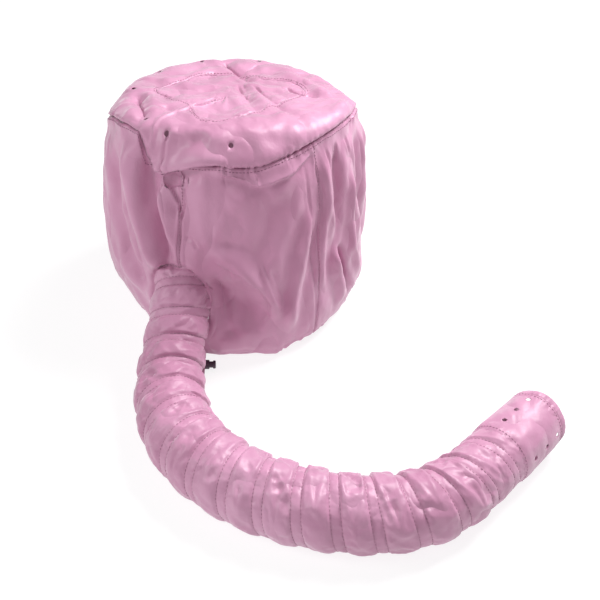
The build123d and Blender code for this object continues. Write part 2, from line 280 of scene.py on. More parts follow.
def ridges(points, size, seed):
    """Noise from -1 to 1 with sharp ridges, as in creased cloth."""
    return 1 - 2.6 * np.abs(waves(points, size, seed))


# ---- meshes ---------------------------------------------------------------------------------
def make_piece(name, points, faces, uv=None):
    """A smooth-shaded mesh object; uv is one pair in metres of cloth for each corner of each face."""
    mesh = bpy.data.meshes.new(name)
    mesh.from_pydata([tuple(p) for p in points], [], [tuple(f) for f in faces])
    mesh.polygons.foreach_set("use_smooth", [True] * len(mesh.polygons))
    if uv is not None:
        mesh.uv_layers.new(name="cloth").data.foreach_set("uv", np.ravel(uv))
    mesh.update()
    piece = bpy.data.objects.new(name, mesh)
    bpy.context.scene.collection.objects.link(piece)
    return piece


def grid_piece(name, grid, size, round_rows=False):
    """A tube of cloth from rows of points round it; size is how long and how far round its cloth is."""
    rows, columns = grid.shape[:2]
    faces = []
    uv = []
    for r in range(rows if round_rows else rows - 1):
        for c in range(columns):
            corners = ((r, c), (r, c + 1), (r + 1, c + 1), (r + 1, c))
            faces.append([(a % rows) * columns + b % columns for a, b in corners])
            uv.extend((a / rows * size[0], b / columns * size[1]) for a, b in corners)
    return make_piece(name, grid.reshape(-1, 3), faces, uv)


def frames_along(centres, closed=False):
    """Two unit vectors across a line of points, without twist."""
    ahead = np.gradient(centres, axis=0)
    if closed:
        ahead = np.roll(centres, -1, 0) - np.roll(centres, 1, 0)
    ahead /= np.linalg.norm(ahead, axis=1, keepdims=True)
    side = np.cross(ahead[0], [0, 0, 1.0])
    if np.linalg.norm(side) < 0.1:
        side = np.cross(ahead[0], [0, 1.0, 0])
    sides = []
    for direction in ahead:
        side = side - direction * (side @ direction)
        side = side / np.linalg.norm(side)
        sides.append(side)
    sides = np.array(sides)
    return sides, np.cross(ahead, sides)


def rod(name, centres, radius, sides=12, closed=False, braid=0.0):
    """A round rod along a line of points; braid is the depth of the crossing strands on it."""
    first, second = frames_along(centres, closed)
    turn = math.tau * np.arange(sides) / sides
    step_length = np.linalg.norm(centres[1] - centres[0])
    phase = np.arange(len(centres))[:, None] * step_length / radius
    relief = braid * np.cos(4 * turn[None] + 1.6 * phase) * np.cos(4 * turn[None] - 1.6 * phase)
    reach = radius + relief
    grid = centres[:, None] + reach[..., None] * (
        np.cos(turn)[None, :, None] * first[:, None] + np.sin(turn)[None, :, None] * second[:, None])
    length = step_length * len(centres)
    piece = grid_piece(name, grid, (length, math.tau * radius), round_rows=closed)
    sheet = bmesh.new()
    sheet.from_mesh(piece.data)
    bmesh.ops.holes_fill(sheet, edges=[e for e in sheet.edges if e.is_boundary], sides=0)
    bmesh.ops.recalc_face_normals(sheet, faces=sheet.faces)
    sheet.to_mesh(piece.data)
    sheet.free()
    return piece


def spaced(points, spacing, closed=False):
    """Points at equal spacing along a line of points."""
    if closed:
        points = np.concatenate([points, points[:1]])
    along = distances(points)
    count = max(int(along[-1] / spacing), 2)
    return at_distances(np.linspace(0, along[-1], count, endpoint=not closed), along, points)


def surface_of(piece):
    bpy.context.view_layer.update()
    return bvhtree.BVHTree.FromObject(piece, bpy.context.evaluated_depsgraph_get())


def laid_on(surface, points, outward):
    """The nearest places on a surface, and its normals there, on the side that outward points to."""
    found = [surface.find_nearest(Vector(point)) for point in points]
    places = np.array([f[0] for f in found])
    normals = np.array([f[1] for f in found])
    return places, normals * np.sign((normals * outward).sum(1, keepdims=True) + 1e-9)


# A stitch's sections, as (share of its length, height and size in its own radius)
STITCH_STATIONS = ((0, -0.6, 0.5), (0.15, 0.35, 0.9), (0.5, 0.8, 1.0), (0.85, 0.35, 0.9), (1, -0.6, 0.5))
STITCH_SIDES = 6
STITCH_LENGTH = 0.0026
STITCH_GAP = 0.0011
STITCH_RADIUS = 0.00034


def stitching(name, lines):
    """Separate stitches along lines on the cloth, each (points, normals); a stitch dips in at its ends."""
    points = []
    for places, normals in lines:
        along = distances(places)
        starts = np.arange(0, along[-1] - STITCH_LENGTH, STITCH_LENGTH + STITCH_GAP)
        share, lift, size = np.array(STITCH_STATIONS).T
        at = starts[:, None] + STITCH_LENGTH * share
        centre = at_distances(at, along, places)
        up = at_distances(at, along, normals)
        up /= np.linalg.norm(up, axis=-1, keepdims=True)
        ahead = centre[:, -1:] - centre[:, :1]
        ahead = ahead / np.linalg.norm(ahead, axis=-1, keepdims=True)
        across = np.cross(ahead, up)
        turn = math.tau * np.arange(STITCH_SIDES) / STITCH_SIDES
        ring = np.cos(turn)[:, None] * across[:, :, None] + np.sin(turn)[:, None] * up[:, :, None]
        centre = centre + up * (lift * STITCH_RADIUS)[:, None]
        points.append((centre[:, :, None] + ring * (STITCH_RADIUS * size)[:, None, None]).reshape(-1, 3))
    points = np.concatenate(points)
    points[:, 2] = np.maximum(points[:, 2], LOWEST / 3)
    per_stitch = len(STITCH_STATIONS) * STITCH_SIDES
    faces = []
    for base in range(0, len(points), per_stitch):
        for r in range(len(STITCH_STATIONS) - 1):
            for c in range(STITCH_SIDES):
                low, after = base + r * STITCH_SIDES, (c + 1) % STITCH_SIDES
                faces.append((low + c, low + STITCH_SIDES + c, low + STITCH_SIDES + after, low + after))
        faces.append(range(base, base + STITCH_SIDES))
        faces.append(range(base + per_stitch - 1, base + per_stitch - 1 - STITCH_SIDES, -1))
    return make_piece(name, points, faces)


def punch(piece, place, radius):
    """A round hole in the cloth at the mesh's nearest point to a place."""
    sheet = bmesh.new()
    sheet.from_mesh(piece.data)
    middle = min(sheet.verts, key=lambda v: (v.co - Vector(place)).length)
    centre, normal = middle.co.copy(), middle.normal.copy()
    inside = [v for v in sheet.verts if (v.co - centre).length < radius]
    edge = {n for v in inside for f in v.link_faces for n in f.verts} - set(inside)
    for vertex in edge:
        away = vertex.co - centre
        depth = normal * away.dot(normal)
        vertex.co = centre + (away - depth).normalized() * radius + depth
    bmesh.ops.delete(sheet, geom=inside, context="VERTS")
    sheet.to_mesh(piece.data)
    sheet.free()


def points_of(mesh):
    flat = np.empty(len(mesh.vertices) * 3)
    mesh.vertices.foreach_get("co", flat)
    return flat.reshape(-1, 3)


def normals_of(mesh):
    flat = np.empty(len(mesh.vertices) * 3)
    mesh.vertex_normals.foreach_get("vector", flat)
    return flat.reshape(-1, 3)


def set_points(mesh, points):
    mesh.vertices.foreach_set("co", np.asarray(points, float).ravel())
    mesh.update()


def evaluated(piece):
    """A new mesh with the piece's modifiers applied."""
    bpy.context.view_layer.update()
    graph = bpy.context.evaluated_depsgraph_get()
    return bpy.data.meshes.new_from_object(piece.evaluated_get(graph), depsgraph=graph)


def subdivided(piece):
    """The piece's mesh after one smooth subdivision, in place of its own."""
    modifier = piece.modifiers.new("smooth", "SUBSURF")
    modifier.levels = modifier.render_levels = 1
    mesh = evaluated(piece)
    piece.modifiers.remove(modifier)
    old = piece.data
    piece.data = mesh
    bpy.data.meshes.remove(old)


def thicken(piece):
    modifier = piece.modifiers.new("thickness", "SOLIDIFY")
    modifier.thickness = CLOTH_THICKNESS
    modifier.offset = -1


TIGHT_FRAME = 8                              # the pins have drawn the cloth in by this frame


def crumple(piece, tight, pins, frames, bending):
    """Cloth simulation: the piece starts loose, and its pins draw it in to tight, so it wrinkles."""
    scene = bpy.context.scene
    piece.shape_key_add(name="loose")
    key = piece.shape_key_add(name="tight")
    key.data.foreach_set("co", np.asarray(tight, float).ravel())
    for value, number in ((0, 1), (1, TIGHT_FRAME)):
        key.value = value
        key.keyframe_insert("value", frame=number)
    group = piece.vertex_groups.new(name="pins")
    for weight in np.unique(pins):
        group.add(np.flatnonzero(pins == weight).tolist(), float(weight), "REPLACE")
    cloth = piece.modifiers.new("cloth", "CLOTH")
    settings = cloth.settings
    settings.vertex_group_mass = group.name
    settings.pin_stiffness = 1
    settings.quality = 5
    settings.mass = 0.01
    settings.air_damping = 1
    settings.tension_stiffness = settings.compression_stiffness = 25
    settings.tension_damping = settings.compression_damping = settings.shear_damping = 1
    settings.bending_stiffness = bending
    settings.effector_weights.gravity = 0
    cloth.point_cache.frame_start = 1
    cloth.point_cache.frame_end = frames
    for number in range(1, frames + 1):
        scene.frame_set(number)
    settled = points_of(evaluated(piece))
    piece.modifiers.remove(cloth)
    piece.shape_key_clear()
    piece.vertex_groups.clear()
    scene.frame_set(1)
    set_points(piece.data, settled)


# ---- lines that hoses and cords follow ------------------------------------------------------
class Line:
    """The smooth line of a route, with a side and an up direction all along it."""

    def __init__(self, route):
        curve = bpy.data.curves.new("route", "CURVE")
        curve.dimensions = "3D"
        spline = curve.splines.new("NURBS")
        spline.points.add(len(route) - 1)
        for point, place in zip(spline.points, route):
            point.co = (*(np.array(place) + SHIFT), 1)
        spline.order_u = 3
        spline.use_endpoint_u = True
        spline.resolution_u = 24
        holder = bpy.data.objects.new("route", curve)
        mesh = bpy.data.meshes.new_from_object(holder)
        self.points = points_of(mesh)
        bpy.data.objects.remove(holder)
        bpy.data.meshes.remove(mesh)
        self.along = distances(self.points)
        self.length = self.along[-1]

    def centre(self, s):
        """Points on the line, and past its ends in a straight line."""
        inside = np.clip(s, 0, self.length)
        return at_distances(inside, self.along, self.points) + (s - inside)[..., None] * self.direction(s)

    def direction(self, s):
        reach = 0.006
        low = np.clip(s - reach, 0, self.length)
        high = np.clip(s + reach, 0, self.length)
        ahead = at_distances(high, self.along, self.points) - at_distances(low, self.along, self.points)
        short = np.linalg.norm(ahead, axis=-1) < 1e-9
        ahead[short] = self.points[-1] - self.points[-2]
        return ahead / np.linalg.norm(ahead, axis=-1, keepdims=True)

    def across(self, s):
        """Two unit vectors across the line: to its outer side, and up."""
        ahead = self.direction(s)
        side = np.cross(ahead, [0, 0, 1])
        side /= np.linalg.norm(side, axis=-1, keepdims=True)
        return side, np.cross(side, ahead)

    def place(self, s, turn, radius):
        """Points round the line: turn is measured from its outer side, downwards."""
        side, up = self.across(s)
        outward = np.cos(turn)[..., None] * side - np.sin(turn)[..., None] * up
        return self.centre(s) + radius[..., None] * outward

    def turn_of(self, s, points):
        """The turn at which points stand round the line."""
        side, up = self.across(s)
        away = points - self.centre(s)
        return np.arctan2(-(away * up).sum(-1), (away * side).sum(-1))


hose_line = Line(HOSE_ROUTE)


def hose_radius(s):
    return through(HOSE_RADII, s / MM) * MM


# ---- materials --------------------------------------------------------------------------------
SHEEN_ROUGHNESS = 0.4


def new_material(name, rough, metallic=0.0, sheen=0.0, specular=0.5):
    """A material, its node tree and its shader."""
    material = bpy.data.materials.new(name)
    material.use_nodes = True
    tree = material.node_tree
    shader = tree.nodes["Principled BSDF"]
    shader.inputs["Roughness"].default_value = rough
    shader.inputs["Metallic"].default_value = metallic
    shader.inputs["Sheen Weight"].default_value = sheen
    shader.inputs["Sheen Roughness"].default_value = SHEEN_ROUGHNESS
    shader.inputs["Specular IOR Level"].default_value = specular
    return material, tree, shader


def add_node(tree, kind, inputs=(), **settings):
    node = tree.nodes.new(kind)
    for name, value in settings.items():
        setattr(node, name, value)
    for name, value in dict(inputs).items():
        if isinstance(value, bpy.types.NodeSocket):
            tree.links.new(value, node.inputs[name])
        else:
            node.inputs[name].default_value = value
    return node


def noise_node(tree, where, scale, detail=2.0, rough=0.5, stretch=(1, 1, 1)):
    mapping = add_node(tree, "ShaderNodeMapping", {"Vector": where, "Scale": stretch})
    return add_node(tree, "ShaderNodeTexNoise", {
        "Vector": mapping.outputs["Vector"], "Scale": scale, "Detail": detail, "Roughness": rough,
    })


def colour_ramp(tree, factor, *stops):
    ramp = add_node(tree, "ShaderNodeValToRGB", {"Fac": factor})
    ramp.color_ramp.elements[0].position, ramp.color_ramp.elements[0].color = stops[0][0], (*stops[0][1], 1)
    ramp.color_ramp.elements[1].position, ramp.color_ramp.elements[1].color = stops[-1][0], (*stops[-1][1], 1)
    for position, colour in stops[1:-1]:
        ramp.color_ramp.elements.new(position).color = (*colour, 1)
    return ramp.outputs["Color"]


def bump(tree, height, strength, distance, normal=None):
    inputs = {"Height": height, "Strength": strength, "Distance": distance}
    if normal is not None:
        inputs["Normal"] = normal
    return add_node(tree, "ShaderNodeBump", inputs).outputs["Normal"]


def roughness(tree, shader, value, low, high):
    """Roughness that varies from low to high with a value from 0 to 1."""
    spread = add_node(tree, "ShaderNodeMapRange", {"Value": value, "To Min": low, "To Max": high})
    tree.links.new(spread.outputs["Result"], shader.inputs["Roughness"])


# The mix node's colour sockets, by number, because its number, vector and colour sockets share names
MIX_FROM, MIX_TO, MIX_RESULT = 6, 7, 2


def taffeta(name, deep, light, crinkle=1.0):
    """Woven nylon: a fine plain weave, a soft sheen and small crinkles."""
    material, tree, shader = new_material(name, rough=0.4, sheen=0.28, specular=0.6)
    shader.inputs["Sheen Tint"].default_value = (1.0, 0.93, 0.97, 1)
    where = add_node(tree, "ShaderNodeTexCoord")
    broad = noise_node(tree, where.outputs["Object"], 9.0, 3.0)
    colour = colour_ramp(tree, broad.outputs["Fac"], (0.3, deep), (0.7, light))
    yarn = []
    for angle in (0.0, math.pi / 2):
        turned = add_node(tree, "ShaderNodeMapping", {
            "Vector": where.outputs["UV"], "Rotation": (0, 0, angle),
        })
        wave = add_node(tree, "ShaderNodeTexWave", {
            "Vector": turned.outputs["Vector"], "Scale": 520.0, "Distortion": 0.6,
            "Detail": 1.0, "Detail Scale": 0.5,
        })
        yarn.append(wave.outputs["Fac"])
    weave = add_node(tree, "ShaderNodeMath", {0: yarn[0], 1: yarn[1]}, operation="MULTIPLY").outputs[0]
    darker = add_node(tree, "ShaderNodeHueSaturation", {"Color": colour, "Value": 0.94, "Saturation": 1.05})
    tinted = add_node(tree, "ShaderNodeMix", {
        0: weave, MIX_FROM: colour, MIX_TO: darker.outputs["Color"],
    }, data_type="RGBA")
    tree.links.new(tinted.outputs[MIX_RESULT], shader.inputs["Base Color"])
    small = noise_node(tree, where.outputs["Object"], 130.0, 3.0, 0.55)
    medium = noise_node(tree, where.outputs["Object"], 42.0, 4.0, 0.6, (1.0, 1.0, 0.6))
    bend = noise_node(tree, where.outputs["Object"], 24.0, 1.5, 0.4, (1.0, 1.0, 0.55))
    folded_away = add_node(tree, "ShaderNodeMath", {0: bend.outputs["Fac"], 1: 0.5}, operation="SUBTRACT")
    crease = add_node(tree, "ShaderNodeMath", {0: folded_away.outputs[0]}, operation="ABSOLUTE")
    normal = bump(tree, crease.outputs[0], 0.6 * crinkle, 0.026)
    normal = bump(tree, medium.outputs["Fac"], 0.4 * crinkle, 0.0025, normal)
    normal = bump(tree, small.outputs["Fac"], 0.35 * crinkle, 0.0008, normal)
    normal = bump(tree, weave, 0.15, 0.00006, normal)
    tree.links.new(normal, shader.inputs["Normal"])
    roughness(tree, shader, small.outputs["Fac"], 0.38, 0.54)
    return material


def plain_thread(name, colour, rough=0.6):
    """Twisted thread: fine slanting ply lines and a little colour change along it."""
    material, tree, shader = new_material(name, rough=rough, sheen=0.2)
    where = add_node(tree, "ShaderNodeTexCoord").outputs["Object"]
    ply = add_node(tree, "ShaderNodeTexWave", {
        "Vector": where, "Scale": 900.0, "Distortion": 1.0,
    }, bands_direction="DIAGONAL")
    tone = noise_node(tree, where, 60.0).outputs["Fac"]
    dark = tuple(c * 0.8 for c in colour)
    tree.links.new(colour_ramp(tree, tone, (0.3, dark), (0.7, colour)), shader.inputs["Base Color"])
    tree.links.new(bump(tree, ply.outputs["Fac"], 0.5, 0.0001), shader.inputs["Normal"])
    return material


def moulded_plastic(name, colour):
    """Moulded plastic: a faint grain, and a colour and a gloss that vary a little."""
    material, tree, shader = new_material(name, rough=0.35)
    where = add_node(tree, "ShaderNodeTexCoord").outputs["Object"]
    tone = noise_node(tree, where, 220.0, 4.0).outputs["Fac"]
    light = tuple(min(1.0, c * 1.35 + 0.01) for c in colour)
    tree.links.new(colour_ramp(tree, tone, (0.35, colour), (0.75, light)), shader.inputs["Base Color"])
    grain = noise_node(tree, where, 1800.0, 2.0).outputs["Fac"]
    tree.links.new(bump(tree, grain, 0.2, 0.00005), shader.inputs["Normal"])
    roughness(tree, shader, tone, 0.28, 0.5)
    return material


def drawn_steel(name):
    """Drawn spring wire: bright metal with fine lengthwise streaks."""
    material, tree, shader = new_material(name, rough=0.3, metallic=1.0)
    where = add_node(tree, "ShaderNodeTexCoord").outputs["Object"]
    tone = noise_node(tree, where, 400.0, 3.0).outputs["Fac"]
    colour = colour_ramp(tree, tone, (0.3, (0.32, 0.32, 0.34)), (0.7, (0.6, 0.6, 0.62)))
    tree.links.new(colour, shader.inputs["Base Color"])
    tree.links.new(bump(tree, tone, 0.2, 0.00004), shader.inputs["Normal"])
    roughness(tree, shader, tone, 0.22, 0.42)
    return material


PINK_DEEP = (0.50, 0.22, 0.35)
PINK_LIGHT = (0.61, 0.305, 0.455)
bonnet_cloth = taffeta("bonnet_taffeta", PINK_DEEP, PINK_LIGHT)
hose_cloth = taffeta("hose_taffeta", PINK_DEEP, PINK_LIGHT, crinkle=1.2)
seam_thread = plain_thread("seam_thread", (0.46, 0.21, 0.32))
# Painted shade: the crown seam's thread is a darker copy of the seam thread, standing in for the shade in the
# seam's groove
painted_shade_thread = plain_thread("seam_thread_painted_groove_shade", (0.28, 0.10, 0.18))
tape = taffeta("binding_tape", (0.52, 0.22, 0.36), (0.6, 0.28, 0.43), crinkle=0.4)
elastic = plain_thread("braided_elastic", (0.58, 0.30, 0.42), rough=0.7)
plum_plastic = moulded_plastic("plum_plastic", (0.045, 0.02, 0.04))
steel = drawn_steel("spring_wire")


# ---- hose sleeve ------------------------------------------------------------------------------
def finish_piece(piece, material, slot, *nodes, body="bonnet"):
    """The piece with its material, on its body, in place of the CAD nodes that it stands for."""
    piece.data.materials.clear()
    piece.data.materials.append(material)
    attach(piece, body)
    if nodes:
        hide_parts(*nodes)
    return piece


def slanted(s, turn, wide, long, angle, seed):
    """Noise from -1 to 1 in streaks across the hose's cells, at an angle from its line."""
    arc = ((turn - math.pi / 2) % math.tau) * HOSE_DIAMETER / 2
    across = (arc * math.cos(angle) - s * math.sin(angle)) / wide
    ahead = (arc * math.sin(angle) + s * math.cos(angle)) / long
    return waves(np.stack([across, ahead, 0 * ahead], 1), 1, seed)


def hanging_folds(s, turn):
    """A V-shaped fold in each cell of the hose: its arms start at the channels and meet half-way down."""
    place = (s - COIL_PHASE) / PITCH - (turn % math.tau) / math.tau
    cell = np.floor(place)
    middle = np.abs(place - cell - 0.5) * PITCH
    below = np.degrees(turn) + 120 + 18 * np.sin(4.1 * cell)
    share = np.clip(1 - np.maximum(below, 0) / 100, 0, 1) * step(-75, -40, below)
    open_width = 0.0115 * share
    arms = 0.0024 * bell(middle - open_width, 0.0024) * step(0, 0.15, share)
    hollow = 0.0018 * bell(middle, 0.7 * open_width + 0.0005) * share
    return (arms - hollow) * (0.4 + 0.6 * step(0.10, 0.20, s))


def hose_sleeve():
    """A helical grid of cloth: its rows run along the wire, and the sewn channel is three rows wide."""
    spacing = PITCH / ROWS_PER_TURN
    first = math.floor((HOSE_START - COIL_PHASE) / spacing) - ROWS_PER_TURN
    last = math.ceil((hose_line.length - COIL_PHASE) / spacing)
    rows = np.arange(first, last + 1)
    columns = np.arange(HOSE_COLUMNS)
    row_grid, column_grid = np.meshgrid(rows, columns, indexing="ij")
    s = COIL_PHASE + row_grid * spacing + PITCH * column_grid / HOSE_COLUMNS
    turn = math.tau * column_grid / HOSE_COLUMNS
    across = (row_grid + ROWS_PER_TURN // 2) % ROWS_PER_TURN - ROWS_PER_TURN // 2
    free = np.abs(across) * spacing > CHANNEL_HALF
    radius = hose_radius(s)
    radius = radius + np.where(free, 0, 0.0003 * np.cos(across * spacing / CHANNEL_HALF * math.pi / 2))
    points = hose_line.place(s, turn, radius).reshape(-1, 3)
    faces = []
    uv = []
    wide = len(columns)
    for r in range(len(rows) - 1):
        for c in range(wide):
            if c + 1 < wide:
                corner = [(r, c), (r, c + 1), (r + 1, c + 1), (r + 1, c)]
            elif r + ROWS_PER_TURN + 1 < len(rows):
                corner = [(r, c), (r + ROWS_PER_TURN, 0), (r + ROWS_PER_TURN + 1, 0), (r + 1, c)]
            else:
                continue
            middle = np.mean([s[a, b] for a, b in corner])
            if HOSE_START < middle < hose_line.length:
                faces.append([a * wide + b for a, b in corner])
                turns = [c, c + 1, c + 1, c]
                uv.extend((middle + 0.5 * spacing * up, PITCH * at) for at, up in zip(turns, (-1, -1, 1, 1)))
    used = np.unique(np.array(faces))
    renumber = np.full(len(points), -1)
    renumber[used] = np.arange(len(used))
    faces = renumber[np.array(faces)]
    points = points[used]
    s, turn, across, free = (a.reshape(-1)[used] for a in (s, turn, across, free))
    piece = make_piece("hose_sleeve_cloth", points, faces, uv)
    for name, values in (("along", s), ("across", np.abs(across) * spacing)):
        attribute = piece.data.attributes.new(name, "FLOAT", "POINT")
        attribute.data.foreach_set("value", values.astype(np.float32))

    # between the channels the cloth is longer than the gap, most of all inside a bend
    reach = 0.003
    after = hose_line.place(s + reach, turn, hose_radius(s))
    before = hose_line.place(s - reach, turn, hose_radius(s))
    gap = (PITCH - 2 * CHANNEL_HALF) * np.linalg.norm(after - before, axis=-1) / (2 * reach)
    cloth_between = (PITCH - 2 * CHANNEL_HALF) * HOSE_SPARE
    spare = np.clip(cloth_between - gap, 0.0004, None)
    height = np.sqrt(4 * gap * spare) / math.pi
    height *= 1 + 1.1 * slanted(s, turn, 0.009, 0.030, 0.6, 3)
    height *= step(0, 0.05, hose_line.length - 0.02 - s) * 0.75 + 0.25
    share = (np.abs(across) * spacing - CHANNEL_HALF) / (PITCH / 2 - CHANNEL_HALF)
    rise = height * np.cos((1 - np.clip(share, 0, 1)) * math.pi / 2)
    outward = points - hose_line.centre(s)
    outward /= np.linalg.norm(outward, axis=-1, keepdims=True)
    held = ~free | (s < HOSE_START + 0.004) | (s > hose_line.length - 0.004)
    set_points(piece.data, points + outward * (rise * ~held)[:, None])
    crumple(piece, points, np.where(held, 1.0, 0.12), frames=22, bending=1.0)
    subdivided(piece)
    points = points_of(piece.data)
    along = np.empty(len(points), np.float32)
    piece.data.attributes["along"].data.foreach_get("value", along)
    centre = hose_line.centre(along.astype(float))
    outward = points - centre
    reach = np.linalg.norm(outward, axis=-1)
    outward /= reach[:, None]
    between = np.empty(len(points), np.float32)
    piece.data.attributes["across"].data.foreach_get("value", between)
    free = step(CHANNEL_HALF, 1.6 * CHANNEL_HALF, between)
    turn = hose_line.turn_of(along.astype(float), points)
    inner = 0.25 + 0.75 * (0.5 + 0.5 * np.cos(turn + math.radians(125)))
    streaks = 1 - 3 * np.abs(slanted(along, turn, 0.017, 0.060, 0.6, 23))
    cross = 1 - 3 * np.abs(slanted(along, turn, 0.013, 0.042, -0.5, 24))
    calm = 0.25 + 0.75 * step(0, 0.05, hose_line.length - 0.02 - along)
    reach += free * calm * inner * (0.0021 * np.maximum(streaks, -0.6) + 0.0014 * np.maximum(cross, -0.6))
    reach += free * calm * hanging_folds(along, turn)
    reach += (0.5 + 0.5 * free) * 0.0003 * ridges(points, 0.009, 22)
    line = np.abs(between - CHANNEL_HALF)
    pucker = waves(points, 0.0065, 25) * np.exp(-line / 0.0025) * step(0, 0.001, line)
    reach += 0.0017 * pucker - 0.0006 * bell(line, 0.0009)
    limit = hose_radius(along.astype(float)) + 0.0028
    reach = np.where(reach > limit, limit + 0.35 * (reach - limit), reach)
    points = centre + outward * reach[:, None]
    points[:, 2] = np.maximum(points[:, 2], LOWEST)
    set_points(piece.data, points)
    return piece


def winding(offset, first, last, per_turn=48):
    """Distances and turns of a line beside the wire's helix, between two distances along the hose."""
    turns = np.arange((first - COIL_PHASE) / PITCH, (last - COIL_PHASE) / PITCH, 1 / per_turn)
    return COIL_PHASE + PITCH * turns + offset, math.tau * turns


def channel_stitching(sleeve):
    surface = surface_of(sleeve)
    lines = []
    for offset in (-CHANNEL_HALF, CHANNEL_HALF):
        s, turn = winding(offset, HOSE_START + 0.012, hose_line.length - 0.008, 96)
        guess = hose_line.place(s, turn, hose_radius(s))
        lines.append(laid_on(surface, guess, guess - hose_line.centre(s)))
    return stitching("hose_channel_stitching", lines)


def wire_coil():
    """The spring-steel wire inside the sewn channel."""
    s, turn = winding(0, HOSE_START + 0.01, hose_line.length - 0.007)
    centres = hose_line.place(s, turn, hose_radius(s) - WIRE_DEPTH)
    centres[:, 2] = np.maximum(centres[:, 2], WIRE_RADIUS + 3 * LOWEST)
    return rod("hose_wire_coil", centres, WIRE_RADIUS, sides=8)


sleeve = finish_piece(hose_sleeve(), hose_cloth, "taffeta", "hose_sleeve", "hose_wire_channel")
finish_piece(channel_stitching(sleeve), seam_thread, "thread")
finish_piece(wire_coil(), steel, "spring_steel", "hose_wire")


# ---- cuff ---------------------------------------------------------------------------------------
def cuff_points(profile, size):
    """A wrinkled grid round the hose's end; its profile is (distance past the sleeve, radius) in mm."""
    rows, columns = size
    profile = np.array(profile, float)
    along = distances(profile)
    at = np.linspace(0, along[-1], rows)
    distance = through(np.stack([along, profile[:, 0]], 1), at)[:, None] + np.zeros(columns)
    radius = through(np.stack([along, profile[:, 1]], 1), at)[:, None] + np.zeros(columns)
    turn = math.tau * np.arange(columns) / columns + np.zeros_like(distance)
    s = hose_line.length + distance * MM
    smooth = hose_line.place(s, turn, radius * MM)
    flat = smooth.reshape(-1, 3)
    wander = waves(flat, 0.018, 31).reshape(turn.shape)
    soft = 1.1 * waves(flat, 0.034, 32).reshape(turn.shape)
    creases = 0.55 * np.sin(5 * turn + distance / 9 + 3 * wander) * (0.5 + wander)
    gathers = step(54, 66, distance) * 0.22 * np.sin(34 * turn + 5 * wander) * step(80, 70, distance)
    puckers = step(9, 0, distance) * 0.4 * np.sin(24 * turn + 6 * wander)
    outer = step(26.2, 27.5, radius)
    reach = radius + (soft + creases) * outer * step(0, 6, distance) + gathers + puckers
    grid = hose_line.place(s, turn, reach * MM)
    grid[..., 2] = np.maximum(grid[..., 2], LOWEST)
    return grid


def cuff_place(distance, degrees, radius):
    """One place on the cuff, in mm and degrees from its top towards the hose's outer side."""
    s = np.array(hose_line.length + distance * MM)
    return hose_line.place(s, np.array(math.radians(degrees - 90)), np.array(radius * MM))


def cuff_stitching(name, surface, where):
    """Stitches round the cuff; where is their distance past the sleeve and their radius, in mm."""
    distance, radius = where
    turn = np.linspace(0, math.tau, 240)
    s = np.full_like(turn, hose_line.length + distance * MM)
    guess = hose_line.place(s, turn, np.full_like(turn, radius * MM))
    return stitching(name, [laid_on(surface, guess, guess - hose_line.centre(s))])


cuff = grid_piece("inlet_cuff_cloth", cuff_points(CUFF_PROFILE, CUFF_GRID), (0.066, 0.205))
subdivided(cuff)
cuff_surface = surface_of(cuff)
cuff_seam = cuff_stitching("cuff_seam_stitches", cuff_surface, CUFF_SEAM)
cuff_topstitch = cuff_stitching("cuff_hem_stitches", cuff_surface, CUFF_TOPSTITCH)
for column in CUFF_VENT_COLUMNS_DEG:
    for distance in CUFF_VENT_DISTANCES:
        punch(cuff, cuff_place(distance, column, 33), CUFF_VENT_RADIUS)
thicken(cuff)
finish_piece(cuff, hose_cloth, "taffeta", "inlet_cuff")
cuff_hem = grid_piece("cuff_hem_cloth", cuff_points(CUFF_HEM_PROFILE, CUFF_HEM_GRID), (0.026, 0.19))
thicken(cuff_hem)
finish_piece(cuff_hem, hose_cloth, "taffeta", "cuff_hem")
finish_piece(cuff_seam, seam_thread, "thread", "cuff_seam_stitching")
finish_piece(cuff_topstitch, seam_thread, "thread")


BAND_STATIONS, BAND_SIDES, BAND_RIBS = 360, 12, 120
BAND_DISTANCE = 0.0710                       # past the sleeve
BAND_RADIUS = 0.0284
BAND_HALF_WIDTH = 0.0026
BAND_HALF_THICKNESS = 0.0007
BAND_RIB_HEIGHT = 0.0001


def cuff_elastic():
    """A flat ribbed elastic band inside the cuff's hem."""
    turn = math.tau * np.arange(BAND_STATIONS) / BAND_STATIONS
    around = math.tau * np.arange(BAND_SIDES) / BAND_SIDES
    middle = np.full((BAND_STATIONS, 1), hose_line.length + BAND_DISTANCE)
    s = middle + BAND_HALF_WIDTH * np.sin(around)[None]
    ribs = BAND_RIB_HEIGHT * np.cos(BAND_RIBS * turn)[:, None]
    radius = BAND_RADIUS + BAND_HALF_THICKNESS * np.cos(around)[None] + ribs
    points = hose_line.place(s, turn[:, None] + np.zeros(BAND_SIDES), radius)
    return grid_piece("cuff_elastic_band", points, (0.178, 0.012), round_rows=True)


finish_piece(cuff_elastic(), elastic, "elastic_cord", "cuff_elastic")


# ---- bonnet -------------------------------------------------------------------------------------
def tilted(x, y, ring):
    """Points at x, y on a ring's own plane; ring is its centre x, y, z in mm and its tilt."""
    cx, cy, cz, degrees = ring
    angle = np.radians(degrees)
    return np.stack([cx + x, cy + y * np.cos(angle), cz - y * np.sin(angle)], -1) * MM + SHIFT


def drawn_in(theta):
    """How far the hem is drawn in from its ring, in metres."""
    degrees = (np.degrees(theta) + 180) % 360 - 180
    return through(DRAWN_IN, degrees) * MM


